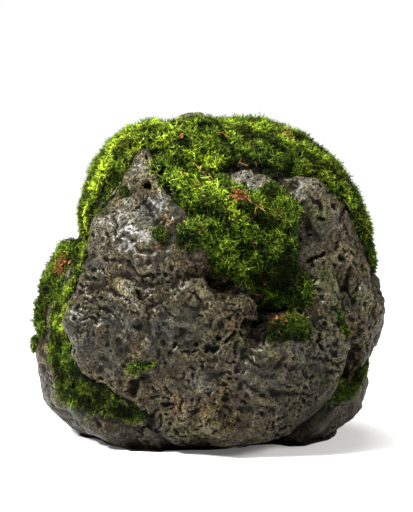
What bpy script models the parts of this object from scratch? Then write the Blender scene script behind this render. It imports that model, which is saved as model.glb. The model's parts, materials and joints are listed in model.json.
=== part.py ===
"""Mossy rock: one weathered boulder with cushions and mats of moss growing on it.

Run it with  blender --background --python part.py  or from Blender's text editor.
Lengths are in metres, +Z is up, the rock faces -Y, and the origin is on the ground at the middle
of the whole object's outline. The lists of corners and tracks below are in millimetres.

The boulder is a union of angular blocks, each given by its corners. Crevices and hollows are
round cuts into that union. The surface is found on a fine sphere of directions around the
boulder's heart, roughened with noise, cut flat at the ground and thinned to fewer triangles.
Each bed of moss is a thick skin over the part of the surface that its tracks cover. A slightly
larger copy of the rock is then cut out of it, so that the two never overlap.
"""

import bmesh
import bpy
import numpy as np
from mathutils import Vector, noise

# ---------------------------------------------------------------- driving dimensions

SPHERE_LEVELS = 7  # subdivisions of the sphere that is shrunk on to the boulder
HEART = np.array([0.000, 0.005, 0.112])  # all of the surface can be seen from here
REACH = 0.190  # no part of the boulder lies further from its heart
WORN_EDGE = 0.0022  # how round the blocks' edges are
CREVICE_FILLET = 0.0018  # how round the creases between two blocks are
FULLNESS = 0.0012  # the surface lies this far out, to make up for the worn edges

ROCK_TRIANGLES = 4200
UNEVEN = 0.0010  # how far each of the waves that bend the blocks moves a point
UNEVEN_WAVES = 9
GAP = 0.005  # how much larger the copy of the rock is that is cut out of the moss

STONE_COLOUR = (0.115, 0.103, 0.088)
MOSS_COLOURS = {
    "mid": (0.070, 0.135, 0.012),
    "bright": (0.120, 0.200, 0.020),
    "dark": (0.040, 0.085, 0.010),
}

# Each block's corners: x to the right, y to the back, z up.
BLOCKS = {
    "upper_slab": [
        (-50, -25, 230), (-62, -31, 212), (-83, -41, 173), (-97, -49, 138), (-108, -46, 126),
        (-66, -67, 142), (-42, -76, 138), (-9, -82, 139), (-5, -75, 150), (-24, -62, 164),
        (-32, -42, 204), (-50, -48, 196), (-80, -10, 190), (-98, -18, 140), (-104, -20, 118),
        (-40, 20, 215), (0, -10, 190), (10, -40, 150), (0, -20, 120), (-80, 0, 110),
    ],
    "lower_slab": [
        (-94, -46, 137), (-114, -47, 112), (-115, -51, 95), (-101, -58, 76), (-82, -62, 52),
        (-55, -68, 32), (-20, -80, 18), (2, -85, 14), (32, -80, 23), (-42, -83, 91),
        (-5, -91, 70), (20, -82, 113), (-42, -71, 134), (-9, -76, 136), (10, -89, 47),
        (-98, -15, 130), (-104, -18, 90), (-70, -30, 40), (0, -50, 2), (30, -50, 2),
        (-30, -45, 4), (30, -40, 120), (0, 0, 130),
    ],
    "brow": [
        (-84, -57, 131), (-62, -66, 133), (-57, -75, 121), (-86, -64, 118), (-70, -68, 98),
        (-94, -54, 104), (-38, -81, 112), (-60, -30, 110), (-80, -30, 120), (-40, -60, 124),
    ],
    "chin": [
        (-14, -88, 66), (14, -92, 56), (-10, -91, 44), (-30, -83, 40), (-36, -82, 58),
        (6, -88, 26), (-22, -82, 24), (0, -50, 30), (0, -50, 70),
    ],
    "dome": [
        (-15, 12, 251), (-34, 28, 250), (8, 24, 250), (22, 45, 246), (-82, 12, 236),
        (-64, 45, 236), (56, 10, 246), (48, 50, 242), (106, 12, 214), (96, 45, 208),
        (-94, 14, 205), (-90, 50, 200), (-104, 22, 165), (121, 15, 184), (125, 18, 142),
        (112, 62, 168), (-98, 60, 160), (-60, 88, 192), (0, 99, 198), (60, 90, 186),
        (-84, 90, 120), (0, 106, 110), (90, 84, 112), (-42, -18, 222), (-8, -12, 244),
        (32, -16, 238), (64, -24, 221), (38, -38, 202), (0, -44, 188), (-85, 20, 60),
        (105, 20, 60), (0, 98, 55), (-60, 88, 60), (70, 84, 60), (-10, -50, 150),
        (48, -48, 140), (20, -52, 160), (70, -30, 120), (20, -40, 60), (-88, -6, 190),
    ],
    "summit": [
        (-24, 12, 258), (-8, 14, 261), (-10, 30, 260), (-28, 26, 257), (-44, 20, 236),
        (10, 8, 236), (-8, 48, 236), (-16, -8, 238),
    ],
    "buttress": [
        (62, -25, 215), (79, -36, 210), (91, -40, 193), (105, -25, 193), (86, -52, 155),
        (97, -57, 117), (106, -56, 82), (112, 0, 202), (120, 15, 182), (132, 10, 144),
        (126, -22, 150), (130, 12, 120), (126, 10, 60), (56, -30, 192), (56, -42, 160),
        (66, -46, 118), (70, -40, 60), (100, 50, 180), (115, 50, 130), (110, 50, 60),
        (124, -32, 112),
    ],
    "right_lobe": [
        (151, 10, 89), (144, 10, 120), (143, 12, 74), (133, 10, 56), (143, -10, 106),
        (132, -28, 95), (123, -38, 120), (121, -36, 74), (142, 38, 92), (124, 72, 74),
        (118, 84, 112), (124, 52, 148), (110, 84, 56), (90, 10, 40), (90, 10, 160),
        (90, 50, 100), (116, -34, 54),
    ],
    "right_foot": [
        (131, 8, 55), (130, 10, 36), (115, 10, 14), (105, 8, -4), (122, -22, 52),
        (110, -42, 46), (100, -42, 18), (84, -46, -4), (122, 45, 48), (98, 66, -4),
        (60, 70, -4), (60, -40, -4), (60, 0, 66),
    ],
    "front_lobe": [
        (42, -54, 104), (81, -58, 104), (30, -81, 88), (76, -73, 85), (105, -57, 90),
        (46, -89, 69), (70, -72, 40), (43, -78, 25), (102, -55, 50), (14, -86, 58),
        (66, -50, 12), (30, -60, 4), (16, -78, 80), (50, 0, 100), (60, -20, 0),
        (100, -20, 60), (86, -50, 22),
    ],
    "knob": [
        (6, -84, 120), (28, -82, 117), (36, -73, 108), (18, -89, 109), (8, -87, 97),
        (24, -84, 101), (8, -60, 122), (30, -60, 118), (20, -50, 90),
    ],
    "left_lobe": [
        (-114, 18, 155), (-133, 10, 116), (-142, 8, 74), (-138, 10, 34), (-128, 8, 22),
        (-118, 10, 12), (-104, 10, 4), (-89, 10, -4), (-110, -18, 140), (-127, -20, 100),
        (-133, -22, 66), (-122, -34, 36), (-92, -54, 14), (-64, -60, -4), (-104, -42, 62),
        (-104, 66, 112), (-122, 50, 70), (-116, 54, 30), (-82, 76, -4), (-96, 62, 148),
        (-40, 20, 20), (-50, 20, 150), (-64, -62, 20), (-40, -66, 10), (-28, -60, -4),
    ],
    "back_left": [
        (-20, 120, 118), (-66, 110, 132), (-92, 88, 96), (-40, 122, 80), (-78, 100, 50),
        (-36, 112, 34), (-60, 86, -4), (-18, 98, -4), (-88, 70, -4), (-34, 108, 160),
        (-74, 92, 160), (0, 0, 100), (-60, 0, -4), (-104, 30, 60), (-4, 110, 60),
    ],
    "back_right": [
        (12, 112, 150), (52, 108, 142), (84, 92, 110), (30, 118, 98), (66, 106, 70),
        (8, 112, 44), (50, 100, 26), (88, 78, 34), (20, 90, -4), (60, 84, -4), (90, 62, -4),
        (24, 100, 176), (70, 84, 168), (0, 0, 100), (60, -30, -4), (104, 30, 60),
        (0, -50, -4), (-40, -48, -4),
    ],
    "back_step": [
        (-34, 114, 66), (20, 122, 72), (52, 112, 52), (4, 124, 44), (-32, 112, 18),
        (34, 108, 2), (0, 60, 40), (10, 80, 104), (-60, 70, 20), (80, 70, 20), (0, 90, -4),
    ],
}

# Crevices and hollows: the points that each round cut runs through, and its radius at each.
CUTS = {
    "valley_hollow": [(50, -70, 134, 15), (57, -62, 121, 17), (50, -76, 112, 8)],
    "valley_crack": [(43, -78, 107, 5.5), (28, -89, 102, 5), (18, -92, 95, 4.5), (11, -95, 88, 5),
                     (1, -97, 85, 5), (-9, -96, 88, 4)],
    "ledge_crack": [(-86, -56, 149, 3), (-62, -71, 147, 4), (-50, -78, 136, 4.5),
                    (-35, -82, 137, 4.5), (-20, -85, 139, 3.5), (-7, -85, 139, 2.5)],
    "front_pit": [(-54, -80, 57, 5), (-53, -78, 46, 5)],
    "back_crevice": [(-8, 126, 150, 5), (-4, 122, 110, 7), (2, 124, 78, 5)],
    "left_notch": [(-128, 60, 120, 8), (-136, 40, 80, 6)],
}

# Beds of moss: the tracks that each follows over the rock and its radius at each point, then how
# thick the bed is, how wide its rounded border is, how many triangles it is thinned to before
# the rock is cut out of it, and its tone. A bed keeps clear of the ones above it in this list.
MOSS = {
    "moss_crown": (
        [
            [(-66, -2, 230, 22), (-78, 30, 218, 32), (-62, 66, 204, 30)],
            [(-42, 24, 248, 34), (0, 60, 240, 46), (0, 82, 212, 36)],
            [(-98, 40, 188, 14), (-84, 74, 174, 20), (-50, 98, 190, 22), (-22, 106, 166, 18),
             (10, 104, 190, 26), (36, 106, 168, 13), (66, 90, 178, 24), (100, 62, 182, 18),
             (118, 36, 178, 15)],
            [(-38, -8, 240, 20), (10, -16, 240, 25), (44, -12, 238, 31), (84, 0, 216, 32),
             (112, 4, 188, 25), (130, 4, 160, 15), (137, 2, 142, 8)],
            [(45, 50, 232, 44), (80, 52, 202, 30)],
            [(-90, 2, 212, 18), (-102, 10, 184, 13), (-104, 14, 168, 8)],
        ],
        0.010, 0.010, 1250, "mid",
    ),
    "moss_cascade": (
        [
            [(-26, -28, 218, 14), (-8, -32, 211, 13), (4, -38, 204, 13)],
            [(-34, -28, 222, 13), (-14, -42, 202, 20), (8, -46, 192, 26), (16, -56, 168, 23),
             (44, -52, 158, 26), (62, -46, 134, 20), (58, -42, 122, 14)],
            [(51, -34, 204, 9), (52, -38, 193, 14), (54, -44, 172, 24), (70, -46, 140, 20),
             (84, -50, 114, 7)],
            [(0, -44, 180, 10), (-14, -64, 167, 11)],
        ],
        0.010, 0.009, 720, "mid",
    ),
    "moss_gully": (
        [
            [(-84, -10, 206, 10), (-95, -16, 176, 10), (-100, -24, 146, 11), (-110, -32, 122, 11),
             (-124, -24, 98, 15), (-124, -30, 76, 14), (-104, -42, 54, 22), (-86, -54, 36, 17),
             (-62, -62, 25, 11), (-46, -66, 23, 6)],
        ],
        0.007, 0.006, 560, "bright",
    ),
    "moss_shoulder": (
        [
            [(-112, 12, 152, 16), (-127, 4, 122, 19), (-136, 2, 100, 15), (-134, -8, 88, 11)],
            [(-106, -4, 150, 18), (-114, -14, 128, 18)],
            [(-116, 34, 140, 16)],
        ],
        0.008, 0.008, 300, "bright",
    ),
    "moss_ledge": ([[(49, -69, 97, 12), (71, -66, 97, 12)]], 0.009, 0.008, 160, "mid"),
    "moss_knob": ([[(-142, 2, 72, 12)]], 0.009, 0.008, 100, "bright"),
    "moss_pit_high": ([[(-66, -38, 204, 6.5)]], 0.004, 0.005, 60, "dark"),
    "moss_pit_low": ([[(-35, -64, 166, 8)]], 0.006, 0.005, 80, "dark"),
    "moss_crack": (
        [[(-62, -78, 63, 4.5), (-48, -82, 67, 4.5), (-36, -86, 69, 4)]], 0.003, 0.003, 100, "dark"
    ),
    "moss_foot": ([[(120, -22, 58, 13), (112, -30, 45, 14), (102, -38, 34, 10)]], 0.005, 0.005, 130, "mid"),
    "moss_seam": ([[(104, -54, 112, 6), (109, -52, 92, 6)]], 0.004, 0.004, 80, "dark"),
}
CLEARANCE = 0.0009  # between the borders of two beds
NEIGHBOURS = ("moss_crown", "moss_cascade", "moss_gully")  # beds that later ones could run into
# Bare places inside a bed of moss, as tracks.
BARE = {
    "moss_crown": [
        [(-26, 20, 259, 10), (-4, 18, 260, 10)],
        [(24, -34, 210, 7), (39, -34, 210, 8)],
        [(72, -38, 212, 12), (96, -38, 196, 14)],
    ],
    "moss_cascade": [
        [(25, -34, 212, 7), (38, -34, 211, 7)],
        [(76, -40, 206, 13), (94, -50, 170, 15), (94, -54, 148, 14)],
    ],
}


# ---------------------------------------------------------------- the boulder's form


def smooth_max(values, radius):
    """The largest along the first axis, rounded over by radius."""
    top = values.max(0)
    return top + radius * np.log(np.exp((values - top) / radius).sum(0))


def bent(points):
    """The points moved by slow waves, so that no face of a block stays quite flat."""
    random = np.random.default_rng(5)
    waves = random.normal(size=(UNEVEN_WAVES, 3)) * 75
    phases = random.uniform(0, 6.28, UNEVEN_WAVES)
    amounts = random.normal(size=(UNEVEN_WAVES, 3)) * UNEVEN
    return points + np.sin(points @ waves.T + phases) @ amounts


def faces_of(corners):
    """The outward normals of the hull of these corners, and how far out each face lies."""
    hull = bmesh.new()
    for corner in corners:
        hull.verts.new([c / 1000 for c in corner])
    bmesh.ops.convex_hull(hull, input=hull.verts)
    middle = sum((v.co for v in hull.verts), Vector()) / len(hull.verts)
    planes = {}
    for face in hull.faces:
        face.normal_update()
        normal = face.normal
        point = face.verts[0].co
        if normal.dot(point - middle) < 0:
            normal = -normal
        planes[tuple(round(n, 2) for n in normal)] = (*normal, normal.dot(point))
    hull.free()
    found = np.array(list(planes.values()))
    return found[:, :3], found[:, 3]


def depth_in(points, track):
    """How deep each point lies inside the round track, in metres."""
    track = np.array(track) / 1000
    if len(track) == 1:
        track = np.vstack([track, track + 1e-6])
    deepest = np.full(len(points), -1.0)
    for start, end in zip(track, track[1:]):
        along = end[:3] - start[:3]
        t = np.clip((points - start[:3]) @ along / (along @ along), 0, 1)
        radius = start[3] + (end[3] - start[3]) * t
        away = np.linalg.norm(points - start[:3] - t[:, None] * along, axis=1)
        deepest = np.maximum(deepest, radius - away)
    return deepest


def depth_outside(points, blocks):
    """How far each point lies outside the boulder, in metres, and below zero inside it."""
    across = bent(points).T
    solid = np.array([smooth_max(n @ across - d[:, None], WORN_EDGE) for n, d in blocks])
    form = -smooth_max(-solid, CREVICE_FILLET) - FULLNESS
    cuts = np.array([depth_in(points, track) for track in CUTS.values()])
    return smooth_max(np.array([form, *cuts]), 0.0012)


def reach_of(directions, blocks, start):
    """How far the boulder reaches from its heart along each direction, found from outside."""
    reach = start.copy()
    index = np.arange(len(directions))
    for _ in range(60):
        step = depth_outside(HEART + directions[index] * reach[index, None], blocks)
        reach[index] -= 0.8 * step
        index = index[step > 2e-5]
        if not len(index):
            break
    return reach


def roughness(point):
    """How far noise moves the surface in or out there, in metres."""
    broad = noise.fractal(point / 0.055, 0.8, 2.0, 3)
    chips = noise.ridged_multi_fractal(point / 0.032 + Vector((7, 3, 1)), 0.9, 2.1, 3, 0.9, 2.0)
    return 0.0032 * broad + 0.0015 * (chips - 1.2)


def relaxed(points, edges, rounds):
    """The points after moving towards the middle of their neighbours this many times."""
    count = np.bincount(edges.ravel(), minlength=len(points))[:, None]
    for _ in range(rounds):
        total = np.zeros_like(points)
        np.add.at(total, edges[:, 0], points[edges[:, 1]])
        np.add.at(total, edges[:, 1], points[edges[:, 0]])
        points = points + 0.6 * (total / count - points)
    return points


def boulder_surface():
    """The boulder's surface as (points, faces, outward directions), before the ground cuts it."""
    sphere = bmesh.new()
    bmesh.ops.create_icosphere(sphere, subdivisions=SPHERE_LEVELS, radius=1.0)
    directions = np.array([v.co[:] for v in sphere.verts])
    directions /= np.linalg.norm(directions, axis=1)[:, None]
    faces = np.array([[v.index for v in f.verts] for f in sphere.faces])
    edges = np.array([[v.index for v in e.verts] for e in sphere.edges])
    sphere.free()
    blocks = [faces_of(corners) for corners in BLOCKS.values()]
    reach = reach_of(directions, blocks, np.full(len(directions), REACH))
    # Spread the points more evenly, so that steep places get their share of them.
    for _ in range(5):
        points = relaxed(directions * reach[:, None], edges, 8)
        directions = points / np.linalg.norm(points, axis=1)[:, None]
        reach = reach_of(directions, blocks, np.full(len(directions), REACH))
    points = HEART + directions * reach[:, None]
    rough = np.array([roughness(Vector(p)) for p in points])
    return points + directions * rough[:, None], faces, directions


def new_object(name, points, faces, colour, roughness):
    mesh = bpy.data.meshes.new(name)
    mesh.from_pydata(points, [], faces)
    material = bpy.data.materials.new(name)
    material.use_nodes = True
    shader = material.node_tree.nodes["Principled BSDF"]
    shader.inputs["Base Color"].default_value = (*colour, 1)
    shader.inputs["Roughness"].default_value = roughness
    mesh.materials.append(material)
    obj = bpy.data.objects.new(name, mesh)
    bpy.context.scene.collection.objects.link(obj)
    return obj


def settle(obj):
    """Replaces the object's mesh with the outcome of its modifiers."""
    graph = bpy.context.evaluated_depsgraph_get()
    mesh = bpy.data.meshes.new_from_object(obj.evaluated_get(graph))
    obj.modifiers.clear()
    obj.data = mesh


def thin_out(obj, triangles):
    """Thins the object to that many triangles."""
    thinner = obj.modifiers.new("fewer faces", "DECIMATE")
    thinner.ratio = triangles / len(obj.data.polygons)
    settle(obj)


# ---------------------------------------------------------------- the moss


def normals_of(points, faces):
    """The outward direction at each point, from the faces round it."""
    corner = points[faces]
    across = np.cross(corner[:, 1] - corner[:, 0], corner[:, 2] - corner[:, 0])
    normals = np.zeros_like(points)
    for side in range(3):
        np.add.at(normals, faces[:, side], across)
    return normals / np.linalg.norm(normals, axis=1)[:, None]


def on_rock(track, points, directions):
    """The track with each of its points moved to the rock's surface, away from the heart."""
    moved = []
    for *spot, radius in track:
        away = np.array(spot) / 1000 - HEART
        nearest = np.argmax(directions @ (away / np.linalg.norm(away)))
        moved.append((*(points[nearest] * 1000), radius))
    return moved


def bed_depths(points, directions):
    """For each bed of moss, how far inside its border each point of the rock lies, in metres."""
    beds = {}
    for name, (tracks, *_) in MOSS.items():
        laid = [depth_in(points, on_rock(track, points, directions)) for track in tracks]
        depth = np.max(laid, axis=0)
        wander = 0.005 + np.clip((points[:, 1] - 0.03) * 0.07, 0, 0.006)
        for index in np.flatnonzero(depth > -0.02):
            spot = Vector(points[index])
            depth[index] += wander[index] * noise.noise(spot / 0.020)
            depth[index] += 0.0022 * noise.noise(spot / 0.008)
        for track in BARE.get(name, []):
            bare = depth_in(points, on_rock(track, points, directions))
            depth = np.minimum(depth, -bare)
        for above in beds.values():
            depth = np.minimum(depth, -above - CLEARANCE)
        beds[name] = depth
    return beds


def make_moss(name, depth, surface, growth, cutters):
    points, faces, _ = surface
    _, thickness, border, triangles, tone = MOSS[name]
    near = depth > -0.004
    inside = np.clip(depth / border, 0, 1)
    rise = thickness * np.sqrt(1 - (1 - inside) ** 2) + np.clip(2 * depth, -0.004, 0)
    for index in np.flatnonzero(depth > 0):
        spot = Vector(points[index])
        rise[index] *= 1 + 0.35 * noise.noise(spot / 0.022 + Vector((0, 9, 4)))
    used = near[faces].all(1)
    index = np.unique(faces[used])
    place = np.full(len(points), -1)
    place[index] = np.arange(len(index))
    top = place[faces[used]]
    edges = np.unique(np.sort(np.concatenate([top[:, :2], top[:, 1:], top[:, ::2]])), axis=0)
    outer = points[index] + growth[index] * relaxed(rise[index, None], edges, 3)
    outer = relaxed(outer, edges, 8)
    inner = points[index] - growth[index] * 0.009
    size = len(index)
    sides = np.concatenate([top[:, [0, 1]], top[:, [1, 2]], top[:, [2, 0]]])
    paired = {tuple(edge) for edge in sides}
    rim = [(a, b) for a, b in sides if (b, a) not in paired]
    walls = [(b, a, a + size, b + size) for a, b in rim]
    all_faces = [tuple(f) for f in top] + [tuple(f[::-1] + size) for f in top] + walls
    moss = new_object(name, np.concatenate([outer, inner]), all_faces, MOSS_COLOURS[tone], 0.95)
    thin_out(moss, triangles)
    for cutter in cutters:
        cut = moss.modifiers.new(cutter.name, "BOOLEAN")
        cut.operation = "DIFFERENCE"
        cut.solver = "EXACT"
        cut.object = cutter
    settle(moss)
    keep_largest(moss)
    return moss


def cutter_from(obj, moved):
    """A hidden copy of the object, with each vertex where moved puts it."""
    cutter = obj.copy()
    cutter.data = obj.data.copy()
    cutter.name = obj.name + "_cutter"
    bpy.context.scene.collection.objects.link(cutter)
    for vertex in cutter.data.vertices:
        vertex.co = moved(vertex)
    cutter.hide_render = True
    cutter.display_type = "WIRE"
    return cutter


def keep_largest(obj):
    """Removes all but the largest of the object's separate pieces."""
    whole = bmesh.new()
    whole.from_mesh(obj.data)
    bmesh.ops.triangulate(whole, faces=whole.faces)
    left = set(whole.faces)
    pieces = []
    while left:
        piece, edge = set(), [left.pop()]
        while edge:
            face = edge.pop()
            piece.add(face)
            for side in face.edges:
                for other in side.link_faces:
                    if other in left:
                        left.remove(other)
                        edge.append(other)
        pieces.append(piece)
    pieces.sort(key=lambda piece: sum(f.calc_area() for f in piece))
    spare = [face for piece in pieces[:-1] for face in piece]
    bmesh.ops.delete(whole, geom=spare, context="FACES")
    whole.to_mesh(obj.data)
    whole.free()


def centre_all():
    """Moves every piece so that the origin is under the middle of the whole object."""
    visible = [obj for obj in bpy.data.objects if not obj.hide_render]
    spots = np.array([v.co[:] for obj in visible for v in obj.data.vertices])
    middle = (spots.min(0) + spots.max(0)) / 2
    for obj in bpy.data.objects:
        for vertex in obj.data.vertices:
            vertex.co.x -= middle[0]
            vertex.co.y -= middle[1]


def main():
    for obj in list(bpy.data.objects):
        bpy.data.objects.remove(obj)
    surface = boulder_surface()
    points, faces, directions = surface
    edges = np.sort(np.concatenate([faces[:, :2], faces[:, 1:], faces[:, ::2]]))
    edges = np.unique(edges, axis=0)
    growth = relaxed(normals_of(points, faces), edges, 14)
    growth /= np.linalg.norm(growth, axis=1)[:, None]
    beds = bed_depths(points, directions)
    # Nobody sees the rock under the moss, so it is plainer there.
    hidden = np.clip((np.max(list(beds.values()), axis=0) - 0.002) / 0.006, 0, 1)[:, None]
    points += hidden * (relaxed(points, edges, 60) - points)
    grounded = points.copy()
    grounded[:, 2] = np.maximum(grounded[:, 2], 0)
    rock = new_object("rock", grounded, faces.tolist(), STONE_COLOUR, 0.8)
    thin_out(rock, ROCK_TRIANGLES)
    heart = Vector(HEART)
    cutters = [cutter_from(rock, lambda v: heart + (v.co - heart) * (1 + GAP))]
    for name, depth in beds.items():
        bed = make_moss(name, depth, surface, growth, cutters)
        if name in NEIGHBOURS:
            cutters.append(cutter_from(bed, lambda v: v.co + v.normal * 0.0004))
    centre_all()


main()
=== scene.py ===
import json
import math
from collections import namedtuple

import bmesh
import bpy
import numpy as np
from bpy.props import FloatProperty, FloatVectorProperty, IntProperty, PointerProperty
from bpy.types import Operator, Panel, PropertyGroup
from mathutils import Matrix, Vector, noise
from mathutils.bvhtree import BVHTree
from mathutils.kdtree import KDTree

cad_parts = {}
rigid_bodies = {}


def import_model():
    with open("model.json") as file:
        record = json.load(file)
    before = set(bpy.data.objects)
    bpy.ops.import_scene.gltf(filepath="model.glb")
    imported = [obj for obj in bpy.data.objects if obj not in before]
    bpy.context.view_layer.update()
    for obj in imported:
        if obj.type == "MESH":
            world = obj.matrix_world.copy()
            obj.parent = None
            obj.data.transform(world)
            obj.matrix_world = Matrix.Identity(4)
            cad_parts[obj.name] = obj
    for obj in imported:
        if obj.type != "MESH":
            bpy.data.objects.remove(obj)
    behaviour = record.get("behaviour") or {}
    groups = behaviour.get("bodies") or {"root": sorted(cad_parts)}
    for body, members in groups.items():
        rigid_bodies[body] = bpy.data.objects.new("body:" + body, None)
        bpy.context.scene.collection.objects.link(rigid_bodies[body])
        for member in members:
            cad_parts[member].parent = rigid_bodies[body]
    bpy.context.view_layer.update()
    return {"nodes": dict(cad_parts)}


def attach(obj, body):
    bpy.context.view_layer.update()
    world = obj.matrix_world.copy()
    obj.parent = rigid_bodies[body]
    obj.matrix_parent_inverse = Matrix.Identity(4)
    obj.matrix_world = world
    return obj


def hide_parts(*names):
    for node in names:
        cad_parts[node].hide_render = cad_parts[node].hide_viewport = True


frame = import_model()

bl_info = {
    "name": "Mossy Rock",
    "version": (1, 0, 0),
    "blender": (4, 5, 0),
    "location": "3D View > Sidebar > Mossy Rock",
    "description": "Makes a pitted boulder with beds of moss, and the stage that it stands on",
    "category": "Add Mesh",
}

# The view that every spot below is named in: AIM, in m, shows at AIM_AT in the frame.
FRAME_WIDTH, FRAME_HEIGHT = 413, 512
LENS, SENSOR = 100.0, 36.0
AIM = Vector((-0.0008, -0.0189, 0.128))
AIM_AT = (207.0, 278.0)
CAMERA_DISTANCE = 1.130
CAMERA_RISE = math.radians(6)
PIXELS = FRAME_HEIGHT * LENS / SENSOR

WELD = 2e-6  # points of a CAD mesh this close are the same point
MAT_DETAIL = 0.0013  # distance between the points of a bed's mat
BOULDER_TRIANGLES = 186000
MOST_SHOOTS = 4.0e6  # to a square metre, before their spacing thins them
LITTER_SEED = 5


def camera_axes():
    """The camera's place, and the directions to its back, right and top."""
    back = Vector((0, -math.cos(CAMERA_RISE), math.sin(CAMERA_RISE)))
    right = Vector((1, 0, 0))
    return AIM + back * CAMERA_DISTANCE, back, right, back.cross(right)


def seen_at(tree, x, y):
    """The point of a surface that shows at x, y in the frame, or None off its edge."""
    place, back, right, top = camera_axes()
    ray = -back + right * ((x - AIM_AT[0]) / PIXELS) + top * ((AIM_AT[1] - y) / PIXELS)
    return tree.ray_cast(place, ray.normalized())[0]


def line_on(tree, line):
    """The points of a surface that show along a line of spots in the frame."""
    points = [seen_at(tree, x, y) for x, y in line]
    return np.array([point for point in points if point is not None])


def away_from(spots, tree, x, y, size):
    """How far each point lies from what shows at x, y, as a share of a size in mm."""
    centre = seen_at(tree, x, y)
    if centre is None:
        return np.full(len(spots), np.inf)
    return np.linalg.norm(spots - np.array(centre), axis=1) * 1000 / size


def smooth(low, high, value):
    """0 below low, 1 above high, and a soft rise between them."""
    t = np.clip((np.asarray(value, float) - low) / (high - low), 0, 1)
    return t * t * (3 - 2 * t)


# ---------------------------------------------------------------- settings

# The three kinds of setting that repeat, as properties of a group.


def Length(name, description, default, least=0.0):
    return FloatProperty(
        name=name, description=description, default=default, min=least, unit="LENGTH"
    )


def Power(name, description, default):
    return FloatProperty(
        name=name, description=description, default=default, min=0, unit="POWER"
    )


def Colour(name, description, default):
    return FloatVectorProperty(
        name=name, description=description, default=default, subtype="COLOR", size=3, min=0, max=1
    )


class StoneSettings(PropertyGroup):
    detail: Length("Detail", "Distance between the points of the stone's surface", 0.0015, 0.0008)
    lump_height: Length("Lump height", "How far the broad lumps stand out", 0.0022)
    chip_height: Length("Chip height", "How far the edges of the chipped faces stand out", 0.0022)
    grain_height: Length("Grain height", "Height of the rough grain", 0.0005)
    pits: IntProperty(
        name="Pits", description="How many gas pits are sunk into the stone", default=1100, min=1
    )
    seed: IntProperty(name="Seed", description="Seed of the noise and of the pits", default=7)
    grey: Colour("Grey", "Colour of the plain stone", (0.0230, 0.0215, 0.0115))
    brown: Colour("Brown", "Colour of the weathered stone", (0.0270, 0.0175, 0.0055))
    ochre: Colour("Ochre", "Colour of the rusty stains", (0.150, 0.080, 0.027))
    blue: Colour("Blue grey", "Colour of the freshly broken faces", (0.0230, 0.0250, 0.0235))
    # partly painted light: the pale patches also lighten facets that face the lamps
    pale: Colour("Pale", "Colour of the worn ridges and lichen specks", (0.125, 0.105, 0.055))
    # partly painted light: worn facets, lightened further where they face the lamps
    clean: Colour("Clean", "Colour of the light, worn facets", (0.175, 0.180, 0.162))
    green: Colour("Green", "Colour of the thin green film", (0.075, 0.100, 0.022))
    # partly painted highlight: raised edges are lightened towards this colour, partly as wear
    edges: Colour("Edges", "Colour of the edges that stand out", (0.138, 0.125, 0.082))
    # partly painted glints: small pale grains that also stand in for glints of light
    specks: Colour("Specks", "Colour of the small pale grains", (0.24, 0.22, 0.16))
    # painted shade: the colour that the low points, cracks and small texture holes are drawn to
    hollows: Colour("Hollows", "Colour down in the pits and cracks", (0.006, 0.005, 0.003))
    # painted shade: the colour that the shaded patches and the stone near the ground are drawn to
    shaded: Colour("Shade", "Colour of the damp stone near the ground", (0.008, 0.007, 0.005))


class MossSettings(PropertyGroup):
    spacing: Length("Spacing", "Least distance between two shoots", 0.0010, 0.0006)
    length: Length("Length", "Length of a shoot on the top of the stone", 0.0055)
    inset: Length("Inset", "How deep the shoots' roots lie under the tips", 0.0014)
    seed: IntProperty(name="Seed", description="Seed of the noise and of the shoots", default=3)
    # partly painted light: young tips, lightened further to stand in for light through the leaves
    tip: Colour("Tip", "Colour of the young tips", (0.380, 0.540, 0.065))
    leaf: Colour("Leaf", "Colour of the shoots", (0.096, 0.172, 0.012))
    # painted shade: the colour down between the shoots and of the mat under them
    deep: Colour("Deep", "Colour down between the shoots", (0.006, 0.011, 0.002))
    dead: Colour("Dead", "Colour of the dead shoots", (0.105, 0.066, 0.018))
    straw: Colour("Straw", "Colour of the few dry shoots", (0.20, 0.10, 0.03))


class StageSettings(PropertyGroup):
    key_power: Power("Key light", "Power of the large soft light", 70.0)
    top_power: Power("Top light", "Power of the weak light from above", 16.0)
    fill_power: Power("Fill light", "Power of the weak light from the right", 15.0)
    sky: FloatProperty(
        name="Surroundings", description="Brightness of the surroundings", default=0.065, min=0
    )


# ---------------------------------------------------------------- mesh helpers


def read(items, name, width, kind=np.float32):
    """A value of each point or edge of a mesh, a row for each."""
    out = np.empty(len(items) * width, kind)
    items.foreach_get(name, out)
    return out.reshape(-1, width)


def points_of(mesh):
    return read(mesh.vertices, "co", 3).astype(float)


def normals_of(mesh):
    return read(mesh.vertices, "normal", 3).astype(float)


def edges_of(mesh):
    return read(mesh.edges, "vertices", 2, np.int32)


def set_points(mesh, spots):
    mesh.vertices.foreach_set("co", np.asarray(spots, np.float32).ravel())
    mesh.update()


def set_values(mesh, name, values):
    """Stores a value or a vector for each point, for the materials and the shoots."""
    values = np.asarray(values, np.float32)
    kind, key = ("FLOAT", "value") if values.ndim == 1 else ("FLOAT_VECTOR", "vector")
    mesh.attributes.new(name, kind, "POINT").data.foreach_set(key, values.ravel())


def spread(values, edges, rounds):
    """Averages a value or vector of each point with its neighbours', a few times."""
    values = np.asarray(values, float)
    flat = values.reshape(len(values), -1)
    count = np.bincount(edges.ravel(), minlength=len(flat))[:, None].clip(1)
    for _ in range(rounds):
        total = np.zeros_like(flat)
        for axis in range(flat.shape[1]):
            total[:, axis] = np.bincount(edges[:, 0], flat[edges[:, 1], axis], len(flat))
            total[:, axis] += np.bincount(edges[:, 1], flat[edges[:, 0], axis], len(flat))
        flat = 0.5 * flat + 0.5 * total / count
    return flat.reshape(values.shape)


def unit(vectors):
    return vectors / np.linalg.norm(vectors, axis=1)[:, None].clip(1e-12)


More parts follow.
